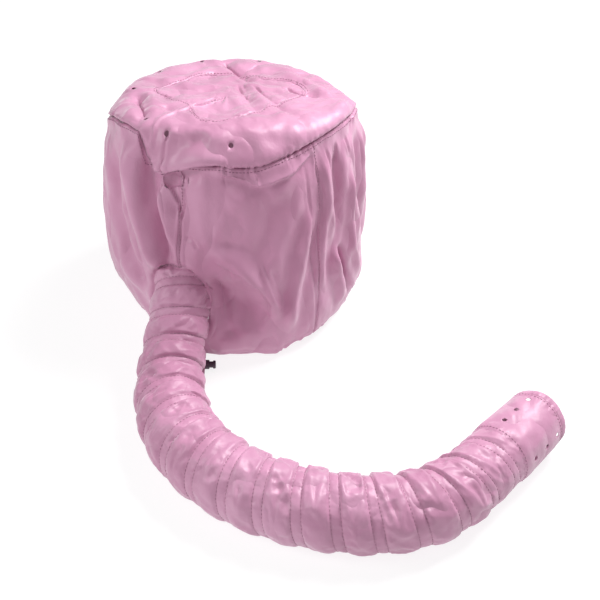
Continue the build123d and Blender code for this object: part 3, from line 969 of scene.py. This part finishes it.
def wall_points(theta, level):
    """The wall at angles and at levels from 0, the hem, to 1, the crown's seam."""
    rings = np.array(RINGS, float)
    height = level * rings[-1, 3]
    height = np.maximum(height, rings[0, 3])
    radius, cx, cy, cz, tilt = (through(np.stack([rings[:, 3], rings[:, k]], 1), height) for k in range(5))
    points = tilted(radius * np.sin(theta), -radius * np.cos(theta), (cx, cy, cz, tilt))
    points[..., 2] += through(SEAM_RISE, np.degrees(theta)) * MM * level**3
    low = step(0.40, 0.03, level)
    points[..., :2] -= heading(theta) * (drawn_in(theta) * low)[..., None]
    points[..., 2] += through(LOW_EDGE, np.degrees(theta)) * MM * step(0.30, 0.02, level)
    return points


def border_points(theta, share):
    """The crown's border at angles and at shares from 0, the outer seam, to 1, the inner seam."""
    degrees = np.degrees(theta)
    inner = through(INNER_SEAM, degrees)
    radius = RIM_RADIUS + (inner - RIM_RADIUS) * share
    turn_in = np.clip((RIM_RADIUS - radius) / (RIM_RADIUS - through(SHOULDER, degrees)), 0, 1)
    flat = tilted(radius * np.sin(theta), -radius * np.cos(theta), CROWN_PLANE)
    rim = wall_points(theta, np.ones_like(theta))
    lift = 1 - (1 - turn_in) ** 2.4
    points = rim + (flat - rim) * lift[..., None]
    reach = heading(theta) * (RIM_RADIUS - radius)[..., None] * MM
    points[..., :2] = rim[..., :2] - reach + (flat - rim)[..., :2] * (lift * turn_in)[..., None] * 0.3
    return points


def bonnet_mesh():
    """One welded mesh of the wall, the crown's border and its centre, with a panel number on each face."""
    columns = np.arange(COLUMNS)
    theta = np.radians(-180 + 360 * columns / COLUMNS)
    rows = []
    for level in np.linspace(0, 1, WALL_ROWS + 1):
        rows.append(wall_points(theta, np.full(COLUMNS, level)))
    for share in np.linspace(0, 1, BORDER_ROWS + 1)[1:]:
        rows.append(border_points(theta, np.full(COLUMNS, share)))
    points = list(np.concatenate(rows))
    last = (len(rows) - 1) * COLUMNS
    faces = []
    panels = []
    middle = theta + math.pi / COLUMNS
    front = (middle > math.radians(LEFT_SEAM_DEG)) & (middle < math.radians(RIGHT_SEAM_DEG))
    for row in range(len(rows) - 1):
        for column in range(COLUMNS):
            after = (column + 1) % COLUMNS
            low, high = row * COLUMNS, (row + 1) * COLUMNS
            faces.append((low + column, low + after, high + after, high + column))
            panels.append(BORDER if row >= WALL_ROWS else WALL_FRONT if front[column] else WALL_MAIN)
    ring = rows[-1]
    centre = ring.mean(0) + np.array([0, 0, 0.001])
    index = {}
    cells = CENTRE_CELLS
    for i in range(cells + 1):
        for j in range(cells + 1):
            a, b = 2 * i / cells - 1, 2 * j / cells - 1
            if abs(a) > abs(b):
                out, angle = abs(a), math.pi / 4 * b / a + (math.pi if a < 0 else 0)
            elif b:
                out, angle = abs(b), math.pi / 2 - math.pi / 4 * a / b + (math.pi if b < 0 else 0)
            else:
                out, angle = 0, 0
            column = round((math.degrees(angle) + 90 + 180) / 360 * COLUMNS) % COLUMNS
            if i in (0, cells) or j in (0, cells):
                index[i, j] = last + column
                continue
            exact = ((math.degrees(angle) + 270) / 360 * COLUMNS) % COLUMNS
            first, share = int(exact) % COLUMNS, exact - int(exact)
            edge = ring[first] * (1 - share) + ring[(first + 1) % COLUMNS] * share
            index[i, j] = len(points)
            points.append(centre + out * (edge - centre))
    for i in range(cells):
        for j in range(cells):
            faces.append((index[i, j], index[i + 1, j], index[i + 1, j + 1], index[i, j + 1]))
            panels.append(CENTRE)
    return np.array(points), faces, panels


def to_hose(points):
    """How far points are from the hose's line, and how far along it."""
    samples = np.linspace(0, 0.12, 60)
    centres = hose_line.centre(samples)
    away = np.linalg.norm(points[:, None] - centres[None], axis=-1)
    return away.min(1), samples[away.argmin(1)]


HOLE_REACH = 0.75 * HOSE_DIAMETER            # edges nearer the hose's line than this are the hole's


def bonnet():
    """The sewn bonnet before its folds, with a hole cut for the hose."""
    points, faces, panels = bonnet_mesh()
    distance, along = to_hose(points)
    hole = hose_radius(along) + 0.0012
    inside = (distance < hole) & (np.arange(len(points)) < WALL_ROWS * COLUMNS)
    kept = [(f, p) for f, p in zip(faces, panels) if not any(inside[v] for v in f)]
    piece = make_piece("bonnet_cloth", points, [f for f, _ in kept])
    for _ in range(4):
        piece.data.materials.append(None)
    piece.data.polygons.foreach_set("material_index", [p for _, p in kept])
    sheet = bmesh.new()
    sheet.from_mesh(piece.data)
    bmesh.ops.delete(sheet, geom=[v for v in sheet.verts if not v.link_faces], context="VERTS")
    for vertex in (v for v in sheet.verts if v.is_boundary):
        place = np.array([vertex.co])
        distance, at = to_hose(place)
        if distance[0] > HOLE_REACH:
            continue
        centre = hose_line.centre(at)
        away = place - centre
        away -= (away * hose_line.direction(at)).sum() * hose_line.direction(at)
        vertex.co = Vector((centre + away / np.linalg.norm(away) * (hose_radius(at) + 0.0006)[:, None])[0])
    sheet.to_mesh(piece.data)
    sheet.free()
    return piece


# Folds of the wall, as (shape, width, height, [(degrees from the front, height above the floor), ...])
WALL_BROAD = [
    ("ridge", 10, 10, [(-54, 246), (-47, 180), (-38, 136), (-26, 110)]),
    ("valley", 8.5, 8, [(-42, 236), (-37, 187), (-31, 152), (-24, 112)]),
    ("ridge", 6, 5, [(-35, 216), (-30, 186), (-25, 150), (-23, 112)]),
    ("hollow", 7, 5, [(-26, 212), (-23, 198), (-22, 186)]),
    ("valley", 9, 8, [(-67, 222), (-60, 152), (-49, 103), (-37, 79)]),
    ("ridge", 9, 3, [(-80, 200), (-74, 140), (-62, 90), (-48, 66)]),
    ("hollow", 20, 17, [(-4, 88), (3, 84), (9, 70)]),
    ("hollow", 10, 10, [(-6, 98), (-3, 70), (0, 45)]),
    ("ridge", 7, 6, [(-8, 150), (4, 136), (15, 100), (20, 66)]),
    ("ridge", 4.5, 4, [(16, 131), (19, 95), (22, 55)]),
    ("ridge", 12, 4, [(8, 215), (0, 188), (-9, 147)]),
    ("valley", 12, 4, [(26, 205), (18, 160), (10, 128)]),
    ("ridge", 6, 7, [(40, 178), (34, 121), (29, 75), (26, 34)]),
    ("ridge", 5.5, 6, [(51, 232), (50, 178), (46, 134), (43, 74)]),
    ("valley", 5.5, 7, [(60, 232), (57, 170), (55, 141), (52, 97)]),
    ("ridge", 5.5, 6, [(53, 170), (54, 137), (53, 97), (58, 30)]),
    ("valley", 4.5, 7, [(56, 116), (60, 77), (69, 20)]),
    ("ridge", 6, 7, [(68, 200), (66, 150), (66, 100), (76, 34)]),
    ("valley", 7, 6, [(80, 225), (78, 150), (86, 80)]),
    ("ridge", 9, 5, [(100, 205), (104, 120), (98, 40)]),
    ("valley", 8, 5, [(118, 190), (114, 120), (120, 50)]),
    ("ridge", 9, 5, [(140, 200), (146, 130), (138, 50)]),
    ("valley", 8, 4, [(165, 190), (160, 110), (168, 40)]),
    ("ridge", 9, 5, [(-168, 195), (-164, 110), (-172, 45)]),
    ("valley", 8, 5, [(-145, 190), (-150, 120), (-142, 50)]),
    ("ridge", 9, 4, [(-122, 195), (-118, 120), (-126, 40)]),
    ("valley", 8, 4, [(-98, 200), (-95, 130), (-101, 50)]),
]
WALL_SHARP = [
    ("valley", 1.6, 2.6, [(-22, 226), (-20, 212), (-19, 193), (-21, 175), (-21, 153), (-21, 112)]),
    ("step", 5, 3, [(-21, 172), (-23, 191), (-27, 204), (-32, 217)]),
    ("step", 3, 2.2, [(-20, 210), (-24, 209), (-27, 206)]),
    ("step", 9, 4.5, [(-6, 229), (2, 225), (17, 214), (27, 218), (38, 226), (49, 235)]),
    ("ridge", 2.2, 2.0, [(15, 230), (17, 215)]),
    ("valley", 1.8, 1.6, [(-19, 157), (-15, 157), (-12, 148)]),
    ("valley", 1.5, 1.2, [(40, 232), (40, 176), (40, 120), (40, 70), (40, 14)]),
    ("step", 8, 3, [(-6, 134), (4, 122), (12, 104), (18, 81), (18, 62), (13, 46)]),
    ("valley", 1.6, 1.8, [(16, 131), (19, 100), (22, 76)]),
    ("valley", 2, 2.4, [(57, 112), (61, 75), (68, 32)]),
    ("valley", 1.6, 1.6, [(46, 225), (47, 190), (45, 150)]),
    ("valley", 1.6, 1.8, [(54, 232), (54, 205)]),
    ("valley", 1.6, 1.8, [(61, 232), (60, 208)]),
    ("valley", 1.6, 1.6, [(68, 230), (69, 210)]),
]
# Folds of the crown, as (shape, width, height, [(x, y), ...]) in mm, seen from above
CROWN_BROAD = [
    ("valley", 5, 4, [(-12, 119), (7, 87), (22, 48)]),
    ("valley", 6, 2.6, [(7, 45), (20, -13), (34, -60)]),
    ("ridge", 6, 2, [(18, 60), (32, 0), (44, -50)]),
    ("valley", 5, 2.4, [(22, 39), (41, -13), (57, -44), (85, -78)]),
    ("ridge", 6, 3, [(-60, 46), (-32, 36), (-10, 40)]),
    ("valley", 5, 2.5, [(-62, 30), (-32, 22), (-12, 22)]),
    ("hollow", 20, 4, [(-10, -30), (-5, -45)]),
    ("valley", 5, 5, [(-97, 12), (-88, -29), (-80, -66)]),
    ("ridge", 6, 3, [(-84, 14), (-74, -29), (-68, -60)]),
    ("valley", 5, 3, [(57, 31), (76, 10), (96, 3)]),
    ("ridge", 6, 4, [(50, 90), (80, 50), (105, 0)]),
    ("ridge", 7, 3, [(-20, 100), (-50, 70), (-80, 50)]),
    ("valley", 4, 3, [(-44, -94), (-30, -99), (-14, -101)]),
]
CROWN_SHARP = [
    ("valley", 1.6, 2.0, [(-96, 7), (-88, -29), (-80, -64)]),
    ("valley", 1.8, 1.8, [(-58, -88), (-60, -95), (-64, -99)]),
    ("ridge", 2.5, 1.8, [(-56, -84), (-44, -90), (-30, -97)]),
    ("valley", 1.6, 1.8, [(-12, 119), (-2, 102), (8, 84)]),
    ("valley", 1.6, 1.6, [(7, 42), (12, 18), (20, -12)]),
    ("valley", 1.8, 1.8, [(24, 36), (34, 8), (44, -20)]),
    ("valley", 1.6, 1.4, [(58, 31), (70, 18), (80, 8)]),
]
# How far the crown's edge hangs over the wall, in mm, by degrees from the front
OVERHANG = [
    (-180, 1), (-60, 1.5), (-44, 1.5), (-38, 5), (-22, 6), (-8, 4), (10, 3), (30, 2), (60, 1.5), (180, 1),
]


def wall_chart(points):
    """Wall points as distance round the wall and height, both in mm, on a flat chart."""
    return np.stack([bearing(points) * CHART_RADIUS, points[:, 2] / MM], 1)


def on_wall_chart(folds):
    return [(shape, width, height, [(math.radians(d) * CHART_RADIUS, z) for d, z in line])
            for shape, width, height, line in folds]


def on_crown(points):
    """How far points belong to the crown, from 0 below its seam to 1 above it."""
    theta = bearing(points, 0.004, 0.017)
    rim = wall_points(theta, np.ones_like(theta))
    return step(-0.001, 0.003, points[:, 2] - rim[:, 2])


def clear_of_hose(points):
    """0 at the edge of the hose's hole, where the wall is sewn down, and 1 from 12 mm away."""
    away, at = to_hose(points)
    return step(0, 0.012, away - hose_radius(at))


def folded(points, normals, wall_folds, crown_folds):
    """Points moved along their normals by the folds of the wall and of the crown."""
    crown = on_crown(points)
    wall = fold_heights(wall_chart(points), on_wall_chart(wall_folds))
    top = fold_heights(points[:, :2] / MM, crown_folds)
    return points + normals * ((wall * (1 - crown) + top * crown) * MM * clear_of_hose(points))[:, None]


def seam_relief(points, seam, groove, pucker, length, reach, seed):
    """How far a seam lifts each point: a groove on its line, and puckers that fade beside it."""
    closed = np.concatenate([seam, seam[:1]])
    along = distances(closed)
    fine = np.arange(0, along[-1], 0.001)
    tree = kdtree.KDTree(len(fine))
    for number, place in enumerate(at_distances(fine, along, closed)):
        tree.insert(place, number)
    tree.balance()
    found = [tree.find(point) for point in points]
    distance = np.array([f[2] for f in found])
    where = fine[[f[1] for f in found]]
    near = distance < 6 * reach
    wander = np.zeros(len(points))
    wander[near] = waves(points[near], 0.02, seed)
    swing = np.sin(math.tau * where / length + 11 * wander) * np.clip(0.45 + 1.4 * wander, 0.05, 1.3)
    beside = pucker * swing * np.exp(-distance / reach) * step(0, 0.0016, distance)
    return -groove * bell(distance, 0.0016) + beside


def overhang(points, crown):
    """The crown's edge bulges over a recessed strip of wall along the front of its seam."""
    theta = bearing(points)
    rim = wall_points(theta, np.ones_like(theta))
    below = rim[:, 2] - points[:, 2]
    front = through(OVERHANG, np.degrees(theta)) * MM
    over = front * bell(below + 0.007, 0.009) * crown
    under = front * bell(below - 0.006, 0.011) * (1 - crown)
    return over - under


FREE_PIN = 0.10                              # how firmly cloth between the seams is held


def sculpted_bonnet():
    """The bonnet with its simulated wrinkles, placed folds and seam puckers."""
    piece = bonnet()
    points = points_of(piece.data)
    tight = folded(points, normals_of(piece.data), WALL_BROAD, CROWN_BROAD)
    crown = on_crown(points)
    soft_wall = 0.0045 * waves(points, (0.030, 0.030, 0.085), 1)
    soft_wall += 0.0018 * waves(points, (0.013, 0.013, 0.03), 2)
    soft_crown = 0.0034 * waves(points, 0.03, 5) + 0.0014 * waves(points, 0.012, 6)
    loose = tight + normals_of(piece.data) * (soft_wall * (1 - crown) + soft_crown * crown)[:, None]
    sheet = bmesh.new()
    sheet.from_mesh(piece.data)
    pins = np.full(len(points), FREE_PIN)
    for vertex in sheet.verts:
        panels = {face.material_index for face in vertex.link_faces}
        if vertex.is_boundary or len(panels) > 1:
            pins[vertex.index] = 1.0
    sheet.free()
    held = pins == 1
    loose[held] = tight[held]
    set_points(piece.data, loose)
    crumple(piece, tight, pins, frames=18, bending=2.0)
    subdivided(piece)
    points = points_of(piece.data)
    points = folded(points, normals_of(piece.data), WALL_SHARP, CROWN_SHARP)
    crown = on_crown(points)
    fine = 0.0006 * ridges(points, (0.034, 0.034, 0.060), 7)
    fine += 0.0003 * ridges(points, (0.013, 0.013, 0.019), 8)
    points += normals_of(piece.data) * (fine * clear_of_hose(points))[:, None]
    set_points(piece.data, points)
    points += normals_of(piece.data) * overhang(points, crown)[:, None]
    set_points(piece.data, points)
    theta = np.radians(-180 + 360 * np.arange(COLUMNS) / COLUMNS)
    rim = wall_points(theta, np.ones(COLUMNS))
    inner = border_points(theta, np.ones(COLUMNS))
    hem = wall_points(theta, np.zeros(COLUMNS))
    lift = seam_relief(points, rim, 0.0040, 0.0018, 0.0072, 0.0042, 11)
    lift += seam_relief(points, inner, 0.0009, 0.0009, 0.0085, 0.005, 12)
    lift += seam_relief(points, hem, 0.0, 0.0018, 0.013, 0.012, 13)
    away, at = to_hose(points)
    gap = np.maximum(away - hose_radius(at), 0)
    dent = 0.0035 * np.exp(-gap / 0.004) - 0.0015 * bell(gap - 0.010, 0.006)
    lift -= dent * (gap < 0.04) * step(0, 0.002, gap)
    points += normals_of(piece.data) * lift[:, None]
    points[:, 2] = np.maximum(points[:, 2], LOWEST)
    set_points(piece.data, points)
    return piece


PANELS = (
    ("wall_main_cloth", "wall_main_panel", (0.75, 0.235), 0.165),
    ("wall_front_cloth", "wall_front_panel", (0.16, 0.235), 0.034),
    ("crown_border_cloth", "crown_border_panel", (0.30, 0.30), 0.044),
    ("crown_centre_cloth", "crown_centre_panel", (0.165, 0.165), 0.0195),
)


def panel_of(whole, number, name):
    """One panel of the sewn bonnet, with its place on the flat cloth."""
    piece = bpy.data.objects.new(name, whole.data.copy())
    bpy.context.scene.collection.objects.link(piece)
    sheet = bmesh.new()
    sheet.from_mesh(piece.data)
    bmesh.ops.delete(sheet, geom=[f for f in sheet.faces if f.material_index != number], context="FACES")
    for face in sheet.faces:
        face.material_index = 0
    sheet.to_mesh(piece.data)
    sheet.free()
    points = points_of(piece.data)
    flat = points[:, :2]
    if number in (WALL_MAIN, WALL_FRONT):
        flat = wall_chart(points) * MM
        if number == WALL_MAIN:
            flat[:, 0] += (flat[:, 0] < 0) * math.tau * CHART_RADIUS * MM
    corners = np.empty(len(piece.data.loops), int)
    piece.data.loops.foreach_get("vertex_index", corners)
    piece.data.uv_layers.new(name="cloth").data.foreach_set("uv", flat[corners].ravel())
    return piece


def seam_line(surface, points):
    """A line on the bonnet's outside near these points."""
    middle = np.array([0.0, 0.015, 0.13]) + SHIFT
    return laid_on(surface, points, points - middle)


def bonnet_stitching(surface, hole):
    """Stitches along every seam of the bonnet, each line with the CAD node that it stands for."""
    theta = np.linspace(-math.pi, math.pi, 4 * COLUMNS)
    full = np.ones_like(theta)
    below = wall_points(theta, 0.988 * full)
    inside = border_points(theta, 0.94 * full)
    hem = wall_points(theta, 0 * full) + np.stack([np.sin(theta), -np.cos(theta), 0.1 * full], 1) * 0.005
    sides = []
    for degrees, lowest in ((LEFT_SEAM_DEG, 0.51), (RIGHT_SEAM_DEG, 0.03)):
        level = np.linspace(lowest, 0.985, 300)
        sides.append(wall_points(np.full_like(level, math.radians(degrees + 0.8)), level))
    for name, node, line in (
        ("crown_seam_stitches", "crown_seam_stitching", below),
        ("crown_ring_stitches", "crown_ring_stitching", inside),
        ("hem_stitches", "hem_stitching", hem),
        ("wall_left_stitches", "wall_left_seam_stitching", sides[0]),
        ("wall_right_stitches", "wall_right_seam_stitching", sides[1]),
        ("hose_seam_stitches", "hose_seam_stitching", hole),
    ):
        # the crown seam gets the darker thread, painted shade for its groove
        thread = painted_shade_thread if node == "crown_seam_stitching" else seam_thread
        finish_piece(stitching(name, [seam_line(surface, line)]), thread, "thread", node)


def hole_edge(piece):
    """The points of the hose hole's edge, in order."""
    sheet = bmesh.new()
    sheet.from_mesh(piece.data)
    edges = [e for e in sheet.edges if e.is_boundary]
    away, _ = to_hose(np.array([e.verts[0].co for e in edges]))
    edge = edges[int(np.argmin(away))]
    first = edge.verts[0]
    line = [first]
    vertex = edge.other_vert(first)
    while vertex is not first:
        line.append(vertex)
        edge = next(e for e in vertex.link_edges if e.is_boundary and e is not edge)
        vertex = edge.other_vert(vertex)
    points = np.array([v.co for v in line])
    sheet.free()
    return points


def round_hose(points, outward, inward):
    """Points moved away from the hose's line, and back along it into the bonnet."""
    _, at = to_hose(points)
    ahead = hose_line.direction(at)
    away = points - hose_line.centre(at)
    away -= (away * ahead).sum(1, keepdims=True) * ahead
    away /= np.linalg.norm(away, axis=1, keepdims=True)
    return points + away * outward - ahead * inward


TAPE_SIDES = 10
EDGE_SPACING = 0.001


def seam_binding(edge):
    """A folded tape that binds the raw edge of the hole, inside the bonnet."""
    section = math.tau * np.arange(TAPE_SIDES) / TAPE_SIDES
    rows = [round_hose(edge, 0.0016 + 0.0007 * math.cos(a), 0.0052 + 0.0036 * math.sin(a)) for a in section]
    return grid_piece("hose_seam_tape", np.array(rows), (0.012, 0.23), round_rows=True)


bonnet_piece = sculpted_bonnet()
bonnet_surface = surface_of(bonnet_piece)
hole = hole_edge(bonnet_piece)
bonnet_stitching(bonnet_surface, spaced(round_hose(hole, 0.0016, 0), EDGE_SPACING, closed=True))
binding = seam_binding(spaced(hole, EDGE_SPACING, closed=True))
finish_piece(binding, tape, "binding_tape", "hose_seam_binding")
for x, y, radius in VENTS:
    top = bonnet_surface.ray_cast(Vector((x * MM, y * MM, 0.4)), Vector((0, 0, -1)))[0]
    punch(bonnet_piece, top, radius * MM)
for number, (name, node, flat, area) in enumerate(PANELS):
    panel = finish_piece(panel_of(bonnet_piece, number, name), bonnet_cloth, "taffeta", node)
    thicken(panel)
bpy.data.objects.remove(bonnet_piece)


# ---- hem, drawstring and cord lock ------------------------------------------------------------
def casing_cloth():
    """The hem's gathered tube of cloth round the drawstring."""
    theta = math.tau * np.arange(CASING_STATIONS)[:, None] / CASING_STATIONS + np.zeros(CASING_SIDES)
    around = math.tau * np.arange(CASING_SIDES)[None] / CASING_SIDES + np.zeros((CASING_STATIONS, 1))
    wide = np.sign(np.cos(around)) * np.abs(np.cos(around)) ** 0.7
    tall = np.sign(np.sin(around)) * np.abs(np.sin(around)) ** 0.7
    ring = np.stack([np.sin(theta), -np.cos(theta), 0 * theta], -1)
    wander = waves((ring * CASING_RADIUS).reshape(-1, 3), 0.016, 41).reshape(theta.shape)
    gather = 1 + 0.13 * np.sin(84 * theta + 5 * wander) + 0.05 * np.sin(171 * theta + 9 * wander)
    radius = CASING_RADIUS - drawn_in(theta)
    points = ring * (radius + CASING_HALF_WIDTH * wide * gather)[..., None] + SHIFT
    points[..., 2] = CASING_MIDDLE + CASING_HALF_HEIGHT * tall * (2 - gather)
    points[..., 2] = np.maximum(points[..., 2], LOWEST)
    return grid_piece("hem_casing_cloth", points, (0.746, 0.03), round_rows=True)


def ring_cord(start, end):
    """The drawstring's line inside the casing, between two angles in degrees."""
    theta = np.radians(np.linspace(start, end, CASING_STATIONS))
    radius = CASING_RADIUS - drawn_in(theta)
    height = np.full_like(theta, CORD_HEIGHT)
    return np.stack([radius * np.sin(theta), -radius * np.cos(theta), height], 1) + SHIFT


def knot_line():
    """A tight overhand knot, as a trefoil curve."""
    t = math.tau * np.arange(160) / 160
    x = np.sin(t) + 2 * np.sin(2 * t)
    y = np.cos(t) - 2 * np.cos(2 * t)
    return np.stack([x, y, -1.4 * np.sin(3 * t)], 1) * KNOT_SCALE + KNOT_CENTRE + SHIFT


def spring_line():
    """The lock's spring, from its seat to the plunger's end; its end coils lie closer together."""
    turn = math.tau * SPRING_COILS * np.linspace(0, 1, 30 * SPRING_COILS)
    ahead = through([(0, 0), (1, 0.09), (SPRING_COILS - 1, 0.91), (SPRING_COILS, 1)], turn / math.tau)
    x = ahead * (SPRING_LENGTH - 2 * SPRING_WIRE)
    coil = np.stack([x, SPRING_COIL * np.cos(turn), SPRING_COIL * np.sin(turn)], 1)
    return coil + SPRING_SEAT + np.array([SPRING_WIRE, 0, 0])


casing = finish_piece(casing_cloth(), bonnet_cloth, "taffeta", "hem_casing")
thicken(casing)
cord = rod("drawstring_cord", ring_cord(-13, 345.5), CORD_RADIUS, braid=BRAID_DEPTH)
finish_piece(cord, elastic, "elastic_cord", "drawstring")
knot = rod("drawstring_knot_cord", knot_line(), KNOT_CORD_RADIUS, closed=True, braid=0.0001)
finish_piece(knot, elastic, "elastic_cord", "drawstring_knot")
tails = []
for side, route in (("left", TAIL_A_ROUTE), ("right", TAIL_B_ROUTE)):
    line = Line(route)
    centres = line.centre(np.linspace(0, line.length, round(line.length / TAIL_SPACING)))
    tail = rod(f"drawstring_tail_{side}_cord", centres, CORD_RADIUS, braid=BRAID_DEPTH)
    finish_piece(tail, elastic, "elastic_cord", f"drawstring_tail_{side}")
    tails.append((tail, line))
for node in ("cord_lock_barrel", "cord_lock_plunger"):
    for slot in bpy.data.objects[node].material_slots:
        slot.material = plum_plastic
spring = rod("cord_lock_spring_wire", spring_line(), SPRING_WIRE)
finish_piece(spring, steel, "spring_steel", "cord_lock_spring", body="cord_lock")
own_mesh(spring)


# ---- camera, light and floor ------------------------------------------------------------------
def area_light(name, place, aim, size, power):
    lamp = bpy.data.lights.new(name, "AREA")
    lamp.size = size
    lamp.energy = power
    holder = bpy.data.objects.new(name, lamp)
    holder.location = place
    holder.rotation_euler = (Vector(aim) - Vector(place)).to_track_quat("-Z", "Y").to_euler()
    bpy.context.scene.collection.objects.link(holder)


FLOOR_HALF = 6


def studio():
    """The photograph's view, a pale floor and soft light from above and the right."""
    scene = bpy.context.scene
    lens = bpy.data.cameras.new("camera")
    lens.lens = 77.4
    lens.sensor_width = 36
    camera = bpy.data.objects.new("camera", lens)
    camera.location = (0.0735, -1.1601, 0.946)
    camera.rotation_euler = (math.radians(50), 0, 0)
    scene.collection.objects.link(camera)
    scene.camera = camera
    scene.view_settings.view_transform = "Standard"
    world = bpy.data.worlds.new("studio")
    scene.world = world
    world.use_nodes = True
    background = world.node_tree.nodes["Background"]
    background.inputs["Color"].default_value = (1, 0.985, 0.99, 1)
    background.inputs["Strength"].default_value = 0.24
    area_light("key", (0.75, 0.35, 1.25), (0.05, -0.1, 0.1), 0.7, 30)
    area_light("left", (-1.3, -0.5, 0.9), (-0.05, -0.1, 0.12), 0.5, 8)
    area_light("top", (-0.2, -1.2, 1.5), (0.05, -0.2, 0.1), 0.9, 5)
    floor_mesh = bpy.data.meshes.new("floor")
    corners = [(x * FLOOR_HALF, y * FLOOR_HALF, 0) for x, y in ((-1, -1), (1, -1), (1, 1), (-1, 1))]
    floor_mesh.from_pydata(corners, [], [(0, 1, 2, 3)])
    floor = bpy.data.objects.new("floor", floor_mesh)
    scene.collection.objects.link(floor)
    material, _, shader = new_material("floor", rough=0.8, specular=0.2)
    shader.inputs["Base Color"].default_value = (0.25, 0.25, 0.25, 1)
    shader.inputs["Emission Color"].default_value = (1, 1, 1, 1)
    shader.inputs["Emission Strength"].default_value = 0.82
    floor.data.materials.append(material)


studio()

hose_line.centre(np.linspace(HOSE_START, hose_line.length, 200))
for tail, line in tails:
    tuple(line.centre(np.array(0.0)))
    line.centre(np.linspace(0, line.length, 80))
